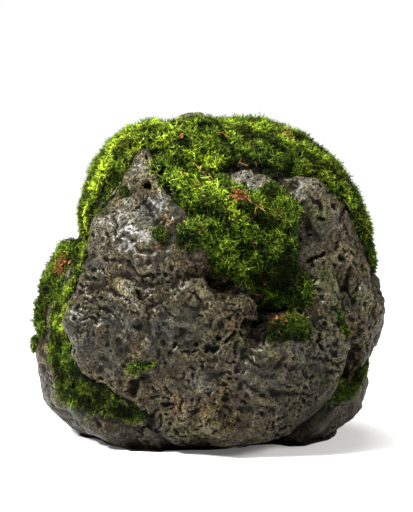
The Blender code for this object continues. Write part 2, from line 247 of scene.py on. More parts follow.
def welded(node):
    """A copy of a CAD node's mesh with its loose triangles joined."""
    mesh = frame["nodes"][node].data.copy()
    bm = bmesh.new()
    bm.from_mesh(mesh)
    bmesh.ops.remove_doubles(bm, verts=bm.verts, dist=WELD)
    bm.to_mesh(mesh)
    bm.free()
    mesh.materials.clear()
    return mesh


def new_object(name, data):
    obj = bpy.data.objects.new(name, data)
    bpy.context.scene.collection.objects.link(obj)
    return obj


def evaluated(obj):
    """A plain mesh of what the object's modifiers make."""
    graph = bpy.context.evaluated_depsgraph_get()
    return bpy.data.meshes.new_from_object(obj.evaluated_get(graph))


def remeshed(mesh, size):
    """The closed surface of a mesh, made anew from small squares of this size."""
    obj = new_object("in_work", mesh)
    modifier = obj.modifiers.new("remesh", "REMESH")
    modifier.mode, modifier.voxel_size = "VOXEL", size
    made = evaluated(obj)
    bpy.data.objects.remove(obj)
    return made


def thinned(mesh, weights, most):
    """Collapses faces at the points that have a weight, until about so many triangles are left."""
    obj = new_object("in_work", mesh)
    group = obj.vertex_groups.new(name="thin")
    for index in np.flatnonzero(weights > 0.5).tolist():
        group.add([index], 1.0, "REPLACE")
    modifier = obj.modifiers.new("thin", "DECIMATE")
    modifier.ratio = min(1.0, most / (2 * len(mesh.polygons)))
    modifier.vertex_group = "thin"
    made = evaluated(obj)
    bpy.data.objects.remove(obj)
    return made


def tree_of(*meshes):
    """The surfaces of some meshes together, to find what is near a point or on a ray."""
    spots, faces = [], []
    for mesh in meshes:
        start = len(spots)
        mesh.calc_loop_triangles()
        spots += [tuple(p) for p in points_of(mesh)]
        faces += [tuple(i + start for i in t.vertices) for t in mesh.loop_triangles]
    return BVHTree.FromPolygons(spots, faces)


def everything_tree():
    """The surfaces of all CAD nodes, to find what shows at a spot in the frame."""
    return tree_of(*(node.data for node in frame["nodes"].values()))


def field(function, spots, size):
    """A noise function read at each point, with its pattern this many metres across."""
    return np.array([function(Vector(p)) for p in (spots / size).tolist()])


def clouds(spots, size, fade, layers, step=2.0):
    """Cloudy noise, each layer finer by a step and weaker by its fade."""
    return field(lambda p: noise.fractal(p, fade, step, layers), spots, size)


def ridges(spots, size, fade, layers):
    """Noise with sharp crests, spread about 0."""
    rise = field(
        lambda p: noise.ridged_multi_fractal(p, fade, 2.1, layers, 1.0, 2.0), spots, size
    )
    return rise / 2.0 - 0.5


def patched(spots, tree, patches, core, ragged):
    """How strongly each point is touched by patches that fade outwards from their core."""
    out = np.zeros(len(spots))
    for x, y, size, strength in patches:
        away = away_from(spots, tree, x, y, size)
        out = np.maximum(out, strength * (1 - smooth(core, 1.15, away + ragged)))
    return out


def finish_piece(obj, nodes, slot, smooth_faces=True):
    mesh = obj.data
    mesh.polygons.foreach_set("use_smooth", [smooth_faces] * len(mesh.polygons))
    mesh.update()
    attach(obj, "root")
    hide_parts(*nodes)


# ---------------------------------------------------------------- node helpers


class Nodes:
    """Adds nodes to a tree in rows, and sets or joins their inputs."""

    def __init__(self, tree):
        self.tree = tree
        self.count = 0

    def add(self, kind, *inputs, out=None, **settings):
        """Adds a node, sets or joins its inputs in order and gives its first or named output."""
        node = self.tree.nodes.new(kind)
        self.count += 1
        node.location = (180 * (self.count % 9), -220 * (self.count // 9))
        for key, value in settings.items():
            setattr(node, key, value)
        for socket, value in zip([s for s in node.inputs if s.enabled], inputs):
            if isinstance(value, bpy.types.NodeSocket):
                self.tree.links.new(value, socket)
            elif value is not None:
                socket.default_value = (*value, 1.0) if socket.type == "RGBA" else value
        return node.outputs[out] if out else next(s for s in node.outputs if s.enabled)

    def times(self, a, b, **settings):
        return self.add("ShaderNodeMath", a, b, operation="MULTIPLY", **settings)

    def plus(self, a, b):
        return self.add("ShaderNodeMath", a, b, operation="ADD")

    def minus(self, a, b):
        return self.add("ShaderNodeMath", a, b, operation="SUBTRACT")

    def most(self, a, b):
        return self.add("ShaderNodeMath", a, b, operation="MAXIMUM")

    def rise(self, value, low, high):
        """0 below low, 1 above high, and an even rise between them."""
        return self.add("ShaderNodeMapRange", value, low, high, 0.0, 1.0, clamp=True)

    def fall(self, value, low, high):
        """1 below low and 0 above high."""
        return self.minus(1.0, self.rise(value, low, high))

    def mix(self, share, a, b, blend="MIX"):
        return self.add("ShaderNodeMix", share, a, b, data_type="RGBA", blend_type=blend)

    def tint(self, colour, by):
        return self.mix(1.0, colour, by, "MULTIPLY")

    def noise(self, where, scale, detail, rough, distortion=0.0, out=None):
        return self.add(
            "ShaderNodeTexNoise", where, scale, detail, rough, None, distortion, out=out
        )

    def cells(self, where, scale, feature="F1"):
        return self.add("ShaderNodeTexVoronoi", where, scale, feature=feature)

    def attribute(self, name):
        return self.add("ShaderNodeAttribute", attribute_name=name, out="Fac")


def group_tree(name, kind, inputs, outputs):
    """A node group with named sockets: its nodes, its inputs and its outputs."""
    tree = bpy.data.node_groups.new(name, kind)
    for label, socket in inputs.items():
        tree.interface.new_socket(name=label, in_out="INPUT", socket_type=socket)
    for label, socket in outputs.items():
        tree.interface.new_socket(name=label, in_out="OUTPUT", socket_type=socket)
    start, end = tree.nodes.new("NodeGroupInput"), tree.nodes.new("NodeGroupOutput")
    start.location, end.location = (-200, 0), (1800, 0)
    return Nodes(tree), start.outputs, end.inputs


def new_material(name, roughness, specular):
    """A material, its nodes and its shader, with the values that are the same all over."""
    material = bpy.data.materials.new(name)
    material.use_nodes = True
    tree = material.node_tree
    shader = next(node for node in tree.nodes if node.type == "BSDF_PRINCIPLED")
    shader.location = (1900, 0)
    shader.inputs["Roughness"].default_value = roughness
    shader.inputs["Specular IOR Level"].default_value = specular
    return material, Nodes(tree), shader


# ---------------------------------------------------------------- the stone

# Grooves and cracks: the spots that they run through, their width and their depth in mm.
CRACKS = (
    (((100, 257), (108, 259), (116, 261)), 3.0, 1.6),
    (((124, 262), (133, 269), (141, 277), (150, 275), (160, 279)), 2.2, 2.2),
    (((266, 319), (256, 321), (246, 324), (240, 329)), 4.2, 5.0),
    (((238, 330), (231, 336), (224, 343)), 2.4, 2.6),
    (((222, 345), (212, 350), (203, 346)), 2.6, 2.6),
    (((200, 348), (190, 352), (181, 350)), 1.6, 1.4),
    (((305, 262), (312, 259), (320, 256), (328, 250)), 2.2, 3.2),
    (((131, 380), (133, 388), (131, 398)), 5.0, 4.0),
    (((183, 395), (180, 408), (186, 417)), 1.4, 1.2),
    (((240, 352), (252, 362), (262, 368)), 1.4, 1.0),
    (((268, 330), (262, 344), (268, 352)), 1.6, 1.4),
    (((300, 345), (306, 362), (302, 378)), 1.6, 1.2),
    (((112, 215), (118, 226), (114, 240)), 1.3, 0.9),
    (((150, 196), (140, 206), (128, 214)), 1.3, 0.8),
    (((352, 262), (347, 280), (351, 300)), 2.4, 1.6),
    (((160, 300), (168, 312), (180, 318)), 1.2, 0.8),
    (((92, 290), (100, 305), (118, 318), (128, 336)), 1.4, 0.9),
    (((222, 300), (236, 306)), 1.4, 0.8),
    (((186, 262), (190, 246), (182, 236)), 1.2, 0.7),
)

# Broad valleys and, where the depth is negative, ridges: as above.
VALLEYS = (
    (((338, 205), (346, 225), (352, 248)), 5.0, -1.8),
    (((362, 235), (369, 262), (374, 290)), 4.5, 2.2),
    (((356, 298), (363, 318), (360, 340)), 5.0, -2.0),
    (((371, 298), (375, 320), (370, 345)), 4.5, 2.0),
    (((350, 262), (357, 285), (352, 308)), 4.0, 1.8),
    (((344, 300), (348, 312), (346, 322)), 4.0, -1.6),
    (((326, 262), (334, 280), (338, 300)), 4.5, -1.6),
    (((316, 286), (326, 300), (334, 316)), 4.0, 2.0),
    (((284, 352), (300, 362), (318, 360)), 4.5, -1.5),
    (((270, 372), (288, 380), (304, 392)), 4.5, -1.5),
    (((246, 390), (262, 402), (284, 406)), 5.0, -1.5),
    (((252, 378), (272, 392), (296, 396)), 4.0, 1.6),
    (((80, 276), (96, 272), (112, 276)), 4.5, -1.6),
    (((98, 282), (112, 290), (128, 302)), 4.5, 1.6),
    (((128, 240), (142, 250), (160, 254)), 4.0, 1.4),
    (((120, 196), (132, 200), (144, 208)), 4.0, -1.4),
    (((198, 254), (210, 266), (226, 276), (242, 288), (258, 300), (268, 306)), 13.0, -3.0),
    (((306, 216), (312, 232), (318, 246)), 9.0, 2.0),
    (((186, 262), (200, 262), (212, 258)), 9.0, 2.2),
    (((348, 312), (354, 330), (354, 350), (347, 374), (332, 398), (318, 412)), 9.0, 4.2),
    (((322, 316), (336, 330), (342, 348), (338, 368), (322, 390), (302, 404)), 6.5, -2.6),
    (((88, 262), (105, 262), (124, 268), (142, 284), (160, 286)), 7.0, 1.6),
    (((84, 252), (104, 248), (126, 254), (146, 266)), 6.0, -1.4),
    (((170, 330), (184, 342), (205, 356), (228, 362)), 8.0, 1.6),
    (((160, 318), (185, 325), (210, 334), (228, 328)), 7.0, -1.4),
    (((118, 340), (128, 362), (150, 385), (160, 410)), 8.0, 1.4),
    (((135, 350), (150, 372), (170, 398), (196, 425)), 7.0, -1.3),
    (((345, 235), (352, 262), (360, 290), (366, 320)), 6.0, -1.6),
    (((338, 240), (342, 268), (345, 295), (340, 312)), 6.0, 2.0),
    (((288, 183), (296, 174), (308, 173), (318, 180)), 4.5, -2.2),
    (((300, 208), (308, 200), (318, 204), (322, 214)), 5.0, 2.0),
    (((240, 350), (262, 362), (285, 366), (300, 358)), 7.0, 1.4),
    (((236, 372), (262, 384), (290, 386), (312, 374)), 7.0, -1.4),
    (((148, 165), (158, 184), (166, 204), (178, 222)), 5.0, -1.2),
    (((140, 196), (150, 214), (156, 232)), 7.0, 1.6),
    (((196, 420), (215, 434), (240, 436), (270, 426)), 8.0, -1.6),
    (((210, 405), (235, 412), (262, 408)), 7.0, 1.3),
)

# Single holes and hollows: spot, radius and depth in mm.
HOLLOWS = (
    (147, 185, 3.2, 5.0), (159, 222, 6.5, 2.6), (149, 262, 3.0, 1.2), (172, 268, 3.0, 1.2),
    (202, 362, 2.4, 1.2), (170, 353, 3.0, 1.6), (166, 363, 2.2, 1.2), (212, 292, 3.4, 1.2),
    (243, 358, 2.6, 1.2), (118, 341, 4.5, 1.2), (334, 205, 3.2, 2.2), (327, 193, 2.2, 1.6),
    (343, 258, 4.2, 2.4), (336, 266, 2.6, 1.4), (363, 268, 4.2, 2.0), (345, 288, 3.2, 1.6),
    (226, 400, 2.6, 1.2), (262, 396, 3.0, 1.2), (152, 398, 3.0, 1.4), (108, 345, 2.2, 1.0),
    (313, 265, 2.6, 1.8), (356, 352, 2.8, 1.2), (196, 345, 2.2, 2.2), (206, 352, 2.0, 2.0),
    (214, 344, 1.8, 1.8), (188, 352, 1.8, 1.4), (312, 190, 2.6, 1.6), (320, 186, 2.0, 1.4),
)

# Bosses that stand out: spot, radius and height in mm.
BOSSES = (
    (190, 122, 17.0, 3.2), (120, 284, 8.0, 2.0), (200, 283, 6.0, 2.0), (228, 322, 7.0, 2.2),
    (245, 342, 8.0, 1.6), (292, 195, 6.0, 1.6), (313, 190, 4.5, 1.8), (296, 178, 4.5, 1.5),
    (343, 246, 6.0, 1.4), (176, 250, 8.0, 1.2), (205, 315, 8.0, 1.4), (150, 345, 9.0, 1.2),
    (100, 300, 8.0, 1.0), (330, 300, 7.0, 1.6), (350, 325, 6.0, 1.4), (285, 385, 9.0, 1.2),
    (215, 425, 8.0, 1.2),
)

# Patches of another colour, by kind: spot, radius in mm and strength. One kind is painted shade,
# and the pale and the worn, lit kinds are partly painted light.
PATCHES = {
    "blue": (
        (126, 232, 22, 0.9), (142, 208, 14, 0.8), (100, 240, 16, 0.6), (150, 260, 16, 0.4),
        (75, 320, 16, 0.8), (85, 345, 16, 0.7), (248, 176, 22, 1.0), (300, 194, 8, 1.0),
        (190, 114, 16, 0.6), (200, 290, 9, 0.5), (205, 382, 14, 0.5), (254, 345, 16, 0.4),
        (320, 232, 16, 0.5), (182, 320, 12, 0.5), (255, 372, 22, 0.6), (118, 320, 22, 0.9),
        (165, 330, 18, 0.8), (110, 365, 14, 0.7), (235, 350, 18, 0.6), (330, 350, 14, 0.5),
        (168, 212, 10, 0.7),
    ),
    "ochre": (
        (229, 321, 6, 1.0), (232, 328, 4, 0.9), (163, 222, 7, 0.5), (216, 398, 10, 0.3),
        (180, 405, 12, 0.4), (150, 398, 7, 0.5), (350, 330, 12, 0.4), (345, 250, 10, 0.35),
        (314, 190, 5, 0.7), (120, 190, 10, 0.35), (99, 330, 6, 0.4), (325, 175, 10, 0.4),
        (222, 312, 5, 0.7), (165, 218, 5, 0.5), (205, 412, 9, 0.3), (222, 390, 6, 0.4),
        (318, 190, 5, 0.5),
    ),
    # partly painted light: pale, worn stone, and facets lightened where they face the lamps, such
    # as the ledge and the outcrop's top
    "pale": (
        (145, 178, 12, 0.6), (118, 190, 12, 0.35), (122, 286, 9, 0.9), (198, 285, 7, 0.4),
        (296, 176, 7, 0.8), (314, 192, 5, 0.6), (245, 342, 9, 0.4), (344, 262, 10, 0.35),
        (230, 318, 6, 0.3), (130, 172, 8, 0.5), (108, 182, 8, 0.3), (348, 300, 12, 0.2),
        (297, 176, 8, 1.0), (316, 176, 7, 0.9), (331, 186, 7, 0.7), (324, 200, 6, 0.6),
        (150, 158, 7, 0.7), (160, 176, 7, 0.6), (136, 200, 10, 0.35), (250, 176, 17, 0.75),
        (302, 176, 11, 0.75), (320, 184, 9, 0.6), (118, 172, 14, 0.35), (128, 288, 10, 0.8),
        (150, 172, 8, 0.6), (142, 240, 14, 0.3), (190, 300, 12, 0.25), (333, 200, 12, 0.7),
        (160, 186, 11, 0.8), (118, 200, 12, 0.4), (225, 410, 20, 0.25), (352, 285, 16, 0.3),
        (310, 190, 12, 0.6), (240, 176, 10, 0.4), (345, 255, 26, 0.3), (215, 330, 26, 0.2),
        (366, 300, 16, 0.35), (200, 420, 26, 0.2), (365, 270, 14, 0.3),
    ),
    # partly painted light: worn facets, lightened where they face the lamps or the front
    "clean": (
        (248, 178, 20, 1.0), (301, 194, 8, 1.0), (128, 287, 9, 0.9), (190, 113, 16, 0.6),
        (120, 222, 13, 0.45), (145, 232, 10, 0.45), (74, 345, 10, 0.3), (202, 384, 9, 0.35),
        (114, 190, 9, 0.3), (320, 178, 11, 0.6), (344, 262, 9, 0.3), (146, 168, 12, 0.6),
        (166, 198, 9, 0.4), (135, 215, 16, 0.5), (100, 262, 14, 0.3), (360, 300, 16, 0.3),
        (335, 185, 10, 0.5), (290, 360, 16, 0.2), (270, 345, 10, 0.3), (200, 245, 10, 0.3),
        (102, 232, 15, 0.35), (312, 186, 16, 0.45),
    ),
    # painted shade: patches under the overhangs, in the recesses and along the foot, where shade
    # falls
    "dark": (
        (275, 305, 16, 0.9), (210, 350, 10, 0.6), (134, 390, 6, 0.9), (150, 240, 8, 0.3),
        (95, 310, 8, 0.5), (224, 308, 6, 0.7), (287, 305, 16, 0.5), (330, 415, 20, 0.6),
        (115, 427, 16, 0.6), (330, 340, 8, 0.3), (313, 256, 6, 0.5), (292, 212, 8, 0.8),
        (306, 208, 5, 0.7), (120, 434, 20, 0.9), (160, 438, 20, 0.85), (92, 426, 14, 0.8),
        (300, 432, 26, 0.7), (345, 418, 16, 0.7), (70, 412, 10, 0.4), (105, 330, 36, 0.3),
        (290, 365, 42, 0.44), (320, 400, 26, 0.4), (235, 285, 20, 0.2), (255, 300, 14, 0.4),
        (175, 350, 30, 0.22), (345, 300, 22, 0.3), (275, 400, 30, 0.25), (180, 320, 26, 0.18),
        (95, 300, 14, 0.4), (315, 225, 16, 0.35), (268, 335, 12, 0.5), (200, 252, 12, 0.35),
        (90, 405, 24, 0.35), (50, 395, 20, 0.4), (75, 408, 24, 0.75), (48, 380, 14, 0.5),
        (318, 245, 24, 0.3),
    ),
    "brown": (
        (220, 300, 26, 0.5), (180, 400, 34, 0.6), (360, 300, 30, 0.7), (330, 190, 16, 0.8),
        (165, 285, 22, 0.5), (300, 400, 26, 0.5), (110, 260, 20, 0.3), (160, 222, 9, 0.6),
        (192, 280, 16, 0.9), (135, 270, 16, 0.6), (190, 425, 26, 0.9), (345, 240, 18, 0.9),
        (225, 335, 14, 0.8), (360, 330, 18, 0.6),
    ),
    "green": (
        (60, 402, 12, 0.7), (84, 420, 14, 0.7), (36, 352, 7, 0.8), (66, 310, 9, 1.0),
        (63, 328, 9, 1.0), (56, 345, 9, 0.8), (352, 298, 9, 0.8), (360, 300, 6, 0.7),
        (215, 348, 6, 0.4), (125, 186, 7, 0.4), (237, 340, 8, 0.5), (250, 352, 10, 0.3),
        (156, 226, 8, 0.4), (270, 350, 9, 0.5), (190, 435, 14, 0.4), (355, 395, 14, 0.4),
        (95, 196, 8, 0.4), (300, 305, 9, 0.4), (196, 232, 8, 0.5), (130, 372, 8, 0.5),
        (75, 395, 14, 0.4), (72, 402, 18, 0.7), (320, 215, 12, 0.6), (328, 278, 13, 0.8),
        (336, 308, 9, 0.9),
    ),
}

PIT_FLOW = np.array([0.6, 0.2, 0.75])  # the pits and folds are drawn out across this direction

THIN_BEDS = ("moss_knob", "moss_pit_high", "moss_pit_low", "moss_crack", "moss_foot", "moss_seam")
THIN_COVER, THICK_COVER = 0.0006, 0.0025  # a bed hides the stone where it is thicker than this


def groove_depth(spots, line, width, depth, rough):
    """How deep each point lies in a groove that follows a line of points and fades at its ends."""
    nearest, fade = np.full(len(spots), 1e9), np.ones(len(spots))
    for index, (start, end) in enumerate(zip(line[:-1], line[1:])):
        along = end - start
        share = np.clip(((spots - start) @ along) / (along @ along), 0, 1)
        away = np.linalg.norm(spots - start - share[:, None] * along, axis=1)
        run = (index + share) / (len(line) - 1)
        ends = smooth(-0.05, 0.25, run) * smooth(-0.05, 0.25, 1 - run)
        fade = np.where(away < nearest, ends, fade)
        nearest = np.minimum(nearest, away)
    reach = width * (1 + 0.6 * rough) * (0.4 + 0.6 * fade)
    return depth * fade * (1 - smooth(0.10, 1.0, nearest / reach))


def broken_faces(spots, size):
    """Flat chips, each tilted its own way, so that their edges stand out as small steps."""
    out = np.empty(len(spots))
    for index, spot in enumerate((spots / size).tolist()):
        spot = Vector(spot)
        away, seeds = noise.voronoi(spot)
        tilt = noise.cell_vector(seeds[0] * 53.0)
        edge = min(1.0, (away[1] - away[0]) * 3)
        out[index] = ((spot - seeds[0]).dot(tilt) + 0.3 * tilt.z) * edge
    return out


def sink_pits(spots, normals, chance, count, seed):
    """The depth of many small gas pits, drawn out one way and crowded where the chance is high."""
    rng = np.random.default_rng(seed)
    places = rng.choice(len(spots), count, replace=False, p=chance / chance.sum())
    tree = KDTree(len(spots))
    for index, spot in enumerate(spots.tolist()):
        tree.insert(spot, index)
    tree.balance()
    depth = np.zeros(len(spots))
    sizes = 0.0009 + 0.0013 * rng.random(count) ** 3
    for place, size in zip(places, sizes):
        centre, normal = spots[place], normals[place]
        flow = np.cross(normal, PIT_FLOW + 0.5 * rng.standard_normal(3))
        flow /= np.linalg.norm(flow)
        long = 1.1 + 1.6 * rng.random()
        near = [index for _, index, _ in tree.find_range(centre.tolist(), size * 1.1 * long)]
        near = np.array([i for i in near if normals[i] @ normal > 0.3])
        if not len(near):
            continue
        off = spots[near] - centre
        along = off @ flow
        away = np.sqrt(np.maximum((off * off).sum(1) - along**2, 0) + (along / long) ** 2) / size
        sunk = size * 1.25 * (1 - smooth(0.45, 1.1, away))
        depth[near] = np.maximum(depth[near], sunk)
    return depth


def moss_cover(spots, normals, shell):
    """1 at each point of the stone that moss or the ground hides, and 0 where it is bare."""
    cover = np.zeros(len(spots))
    for name in frame["nodes"]:
        if not name.startswith("moss"):
            continue
        tree = tree_of(welded(name))
        above = spots + normals * (THIN_COVER if name in THIN_BEDS else THICK_COVER)
        for index in np.flatnonzero(cover == 0).tolist():
            out = Vector(normals[index])
            point, facing, _, _ = tree.ray_cast(Vector(above[index]), out, 0.03)
            if point is not None and facing.dot(out) > 0:
                cover[index] = 1.0
    for x, y, size, _ in MOSS_PATCHES["bare"]:
        cover *= away_from(spots, shell, x, y, size) > 1.3
    return np.maximum(cover, (spots[:, 2] < 0.0008) * (normals[:, 2] < -0.9))


def carved_boulder(settings):
    """The stone with its lumps, chips, cracks and pits, and what covers each point of it."""
    fine = remeshed(welded("rock"), settings.detail)
    spots, edges = points_of(fine), edges_of(fine)
    shell = tree_of(fine)
    normals = unit(spread(normals_of(fine), edges, 3))
    cover = moss_cover(spots, normals, shell)
    bare = spread(1 - cover, edges, 2)

    warp = field(noise.noise_vector, spots, 0.030) * 0.008
    bent = spots + warp
    curled = bent + field(noise.noise_vector, spots, 0.011) * 0.0045
    lumps = ridges(bent, 0.036, 0.9, 3)
    soft = clouds(bent, 0.020, 1.0, 4)
    drawn = bent - 0.55 * (bent @ PIT_FLOW)[:, None] * PIT_FLOW
    folds = ridges(drawn, 0.0125, 0.8, 4)
    slabs = broken_faces((bent + 0.5 * warp) * (1.0, 1.0, 1.25), 0.030)
    chips = broken_faces(bent * (1.0, 1.0, 1.2), 0.0105)
    uneven = clouds(spots, 0.012, 0.8, 4)
    tints = {kind: patched(spots, shell, patches, 0.25, 0.35 * uneven)
             for kind, patches in PATCHES.items()}
    rough_zone = smooth(-0.10, 0.40, clouds(spots, 0.045, 1.0, 2))
    rough_zone = np.maximum(rough_zone, 0.9 * tints["brown"])
    rough_zone *= 1 - 0.85 * np.maximum(tints["blue"], tints["clean"])
    grain = clouds(curled, 0.0048, 0.6, 4, 2.1)
    gnawed = clouds(curled * (1.0, 1.0, 1.4), 0.0085, 0.8, 3)

    # The broad forms.
    rise = settings.lump_height * (0.6 * lumps + 0.8 * soft)
    rise += settings.chip_height * 0.95 * slabs
    for x, y, size, height in BOSSES:
        away = away_from(spots, shell, x, y, size)
        rise += 0.0014 * height * (1 - smooth(0.2, 1.0, away * (1 + 0.25 * uneven)))
    wobble = field(noise.noise_vector, spots, 0.009) * 0.0016
    for line, width, depth in VALLEYS:
        line = line_on(shell, line)
        rise -= groove_depth(spots + 2 * wobble, line, 0.001 * width, 0.001 * depth, uneven)

    # The small forms.
    fine_rise = 0.0023 * folds * (0.7 + 0.3 * rough_zone)
    fine_rise += settings.chip_height * 0.62 * chips * (0.45 + 0.55 * rough_zone)
    fine_rise += settings.grain_height * grain * (0.35 + 0.9 * rough_zone)
    fine_rise -= 0.0016 * smooth(0.30, 0.55, gnawed) * rough_zone
    for x, y, size, depth in HOLLOWS:
        away = away_from(spots, shell, x, y, size)
        fine_rise -= 0.0014 * depth * (1 - smooth(0.25, 1.1, away * (1 + 0.35 * uneven)))
    for line, width, depth in CRACKS:
        line = line_on(shell, line)
        fine_rise -= groove_depth(spots + wobble, line, 0.0012 * width, 0.0016 * depth, uneven)
    chance = (0.15 + rough_zone) * (0.2 + smooth(-0.2, 0.4, uneven)) * (0.1 + bare)
    fine_rise -= sink_pits(spots, normals, chance, settings.pits, settings.seed)

    foot = smooth(0.0, 0.010, spots[:, 2] - 0.0005)
    total = (rise + fine_rise) * foot * (0.25 + 0.75 * bare)
    moved = spots + normals * total[:, None]
    # The foot draws in towards the ground, unevenly, so that it stands in its own shade.
    under = (1 - smooth(0.0, 0.016, spots[:, 2])) * (0.0075 + 0.004 * uneven)
    under *= normals[:, 2] > -0.9
    moved -= normals * (1.0, 1.0, 0.0) * under[:, None]
    moved[:, 2] = np.maximum(moved[:, 2], spots[:, 2].min())
    set_points(fine, moved)
    # How far each point stands out from its surroundings in mm, near it and further round; the
    # material paints shade on the low points and light on the high ones.
    facing = unit(spread(normals_of(fine), edges, 8))
    for name, rounds in (("relief", 6), ("form", 40)):
        out = ((moved - spread(moved, edges, rounds)) * facing).sum(1)
        set_values(fine, name, out * 1000)
    # Painted shade: the stone is darkened towards the ground, where the contact shadow falls.
    shaded = (1 - smooth(0.002, 0.020, moved[:, 2] + 0.006 * uneven)) * 0.85
    tints["dark"] = np.maximum(tints["dark"], shaded)
    for name, values in tints.items():
        set_values(fine, name, values)
    return fine, cover


def stone_tones():
    """The stone's speckle, pits, streaks and fine height, for its material to colour."""
    tones = ("Mottle", "Grit", "Vesicles", "Specks", "Streaks", "Blotch", "Height")
    n, _, end = group_tree("stone tones", "ShaderNodeTree", {},
                           {name: "NodeSocketFloat" for name in tones})
    where = n.add("ShaderNodeTexCoord", out="Object")
    wander = n.noise(where, 120, 3, 0.6, out="Color")
    warp = n.add("ShaderNodeVectorMath", wander, (0.0045, 0.0045, 0.0045), where,
                 operation="MULTIPLY_ADD")
    mottle = n.noise(where, 24, 5, 0.62)
    grit = n.noise(warp, 560, 5, 0.80)
    blotch = n.noise(where, 75, 4, 0.6, 0.6)
    drawn = n.add("ShaderNodeMapping", warp, None, (0.3, 0.5, 0.9), (1.0, 0.35, 1.0))
    streaks = n.noise(drawn, 170, 4, 0.65, 0.8)
    wrinkles = n.minus(n.noise(drawn, 230, 3, 0.6), 0.5)
    wrinkles = n.fall(n.add("ShaderNodeMath", wrinkles, operation="ABSOLUTE"), 0.0, 0.05)
    holes = n.fall(n.cells(drawn, 480), 0.22, 0.38)
    holes = n.times(holes, n.rise(blotch, 0.36, 0.50))
    big_holes = n.fall(n.cells(warp, 190), 0.14, 0.30)
    big_holes = n.times(big_holes, n.rise(n.noise(where, 50, 3, 0.6), 0.45, 0.60))
    fissures = n.fall(n.cells(warp, 85, "DISTANCE_TO_EDGE"), 0.0, 0.045)
    fissures = n.times(fissures, n.rise(blotch, 0.50, 0.62))
    vesicles = n.most(n.most(holes, big_holes), n.times(fissures, 0.8))
    specks = n.fall(n.cells(where, 560), 0.12, 0.30)
    specks = n.times(specks, n.rise(n.noise(where, 70, 3, 0.6), 0.50, 0.62))
    height = n.plus(n.times(grit, 0.6), n.times(streaks, 0.8))
    height = n.minus(height, n.times(vesicles, 0.8))
    height = n.minus(height, n.times(wrinkles, 0.40))
    height = n.plus(height, n.times(n.noise(drawn, 95, 3, 0.55), 0.9))
    for socket, value in zip(end, (mottle, grit, vesicles, specks, streaks, blotch, height)):
        n.tree.links.new(value, socket)
    return n.tree


def stone_material(settings):
    """Browns and greys under the stains, then edges lightened as wear and as painted highlight,
    grit, and painted shade in the hollows and near the ground.
    """
    material, n, shader = new_material("weathered stone", 0.5, 0.10)
    tones = n.tree.nodes.new("ShaderNodeGroup")
    tones.node_tree = stone_tones()
    tone = tones.outputs
    streaks, relief, form = tone["Streaks"], n.attribute("relief"), n.attribute("form")
    colour = n.mix(n.rise(tone["Mottle"], 0.40, 0.62), settings.grey, settings.brown)
    for name, strength, over in (
        ("brown", 0.8, settings.brown),
        ("blue", n.rise(streaks, 0.15, 0.55), settings.blue),
        ("ochre", n.rise(tone["Grit"], 0.30, 0.62), settings.ochre),
        # pale patches, partly painted light
        ("pale", n.plus(0.35, n.rise(streaks, 0.35, 0.65)), settings.pale),
        # worn facets, partly painted light
        ("clean", n.rise(streaks, 0.25, 0.55), settings.clean),
        ("green", n.rise(streaks, 0.30, 0.60), settings.green),
    ):
        colour = n.mix(n.times(n.attribute(name), strength), colour, over)
    # Raised edges are lightened, partly as wear and partly as painted highlight.
    edge = n.most(n.rise(relief, 0.05, 0.36), n.times(n.rise(form, 0.4, 2.0), 0.7))
    colour = n.mix(n.times(edge, 0.34), colour, settings.edges)
    # Small pale grains, which also stand in for painted glints.
    colour = n.mix(n.times(tone["Specks"], 0.45), colour, settings.specks)
    grit = n.rise(tone["Grit"], 0.40, 0.61)
    colour = n.tint(colour, n.mix(grit, (0.24, 0.24, 0.24), (2.42, 2.34, 2.08)))
    broad = n.rise(tone["Blotch"], 0.36, 0.62)
    colour = n.tint(colour, n.mix(broad, (0.55, 0.57, 0.60), (1.45, 1.39, 1.22)))
    # Painted shade: low points, cracks and the small texture holes are darkened where shade falls
    # in them.
    hollow_shade = n.most(n.rise(relief, -0.03, -0.28), n.times(n.rise(form, -0.2, -1.8), 0.9))
    hollow_shade = n.most(n.times(hollow_shade, 0.96), n.times(tone["Vesicles"], 0.92))
    colour = n.mix(hollow_shade, colour, settings.hollows)
    # Painted shade: the shaded patches and the foot are drawn towards a near-black.
    colour = n.mix(n.times(n.attribute("dark"), 0.75), colour, settings.shaded)
    rough = n.plus(0.34, n.times(grit, 0.26))
    rough = n.minus(rough, n.times(n.attribute("blue"), 0.10))
    rough = n.most(rough, n.times(hollow_shade, 0.8))
    wet = n.plus(0.15, n.times(n.attribute("blue"), 0.16))
    wet = n.times(wet, n.minus(1.0, n.times(hollow_shade, 1.3)), use_clamp=True)
    wet = n.times(wet, n.plus(0.4, grit))
    bump = n.add("ShaderNodeBump", 0.9, 0.0048, None, tone["Height"])
    for name, value in (("Base Color", colour), ("Roughness", rough), ("Coat Weight", wet),
                        ("Normal", bump)):
        n.tree.links.new(value, shader.inputs[name])
    shader.inputs["Coat Roughness"].default_value = 0.29
    return material


class BoulderOperator(Operator):
    """Carves the stone and gives it its colours"""

    bl_idname = "mossy_rock.boulder"
    bl_label = "Boulder"

    def execute(self, context):
        settings = context.scene.mossy_rock_stone
        noise.seed_set(settings.seed)  # noise_vector changes from run to run without it
        mesh, cover = carved_boulder(settings)
        mesh = thinned(mesh, cover, BOULDER_TRIANGLES)
        mesh.materials.append(stone_material(settings))
        finish_piece(new_object("boulder", mesh), ["rock"], "stone")
        return {"FINISHED"}


# ---------------------------------------------------------------- the moss

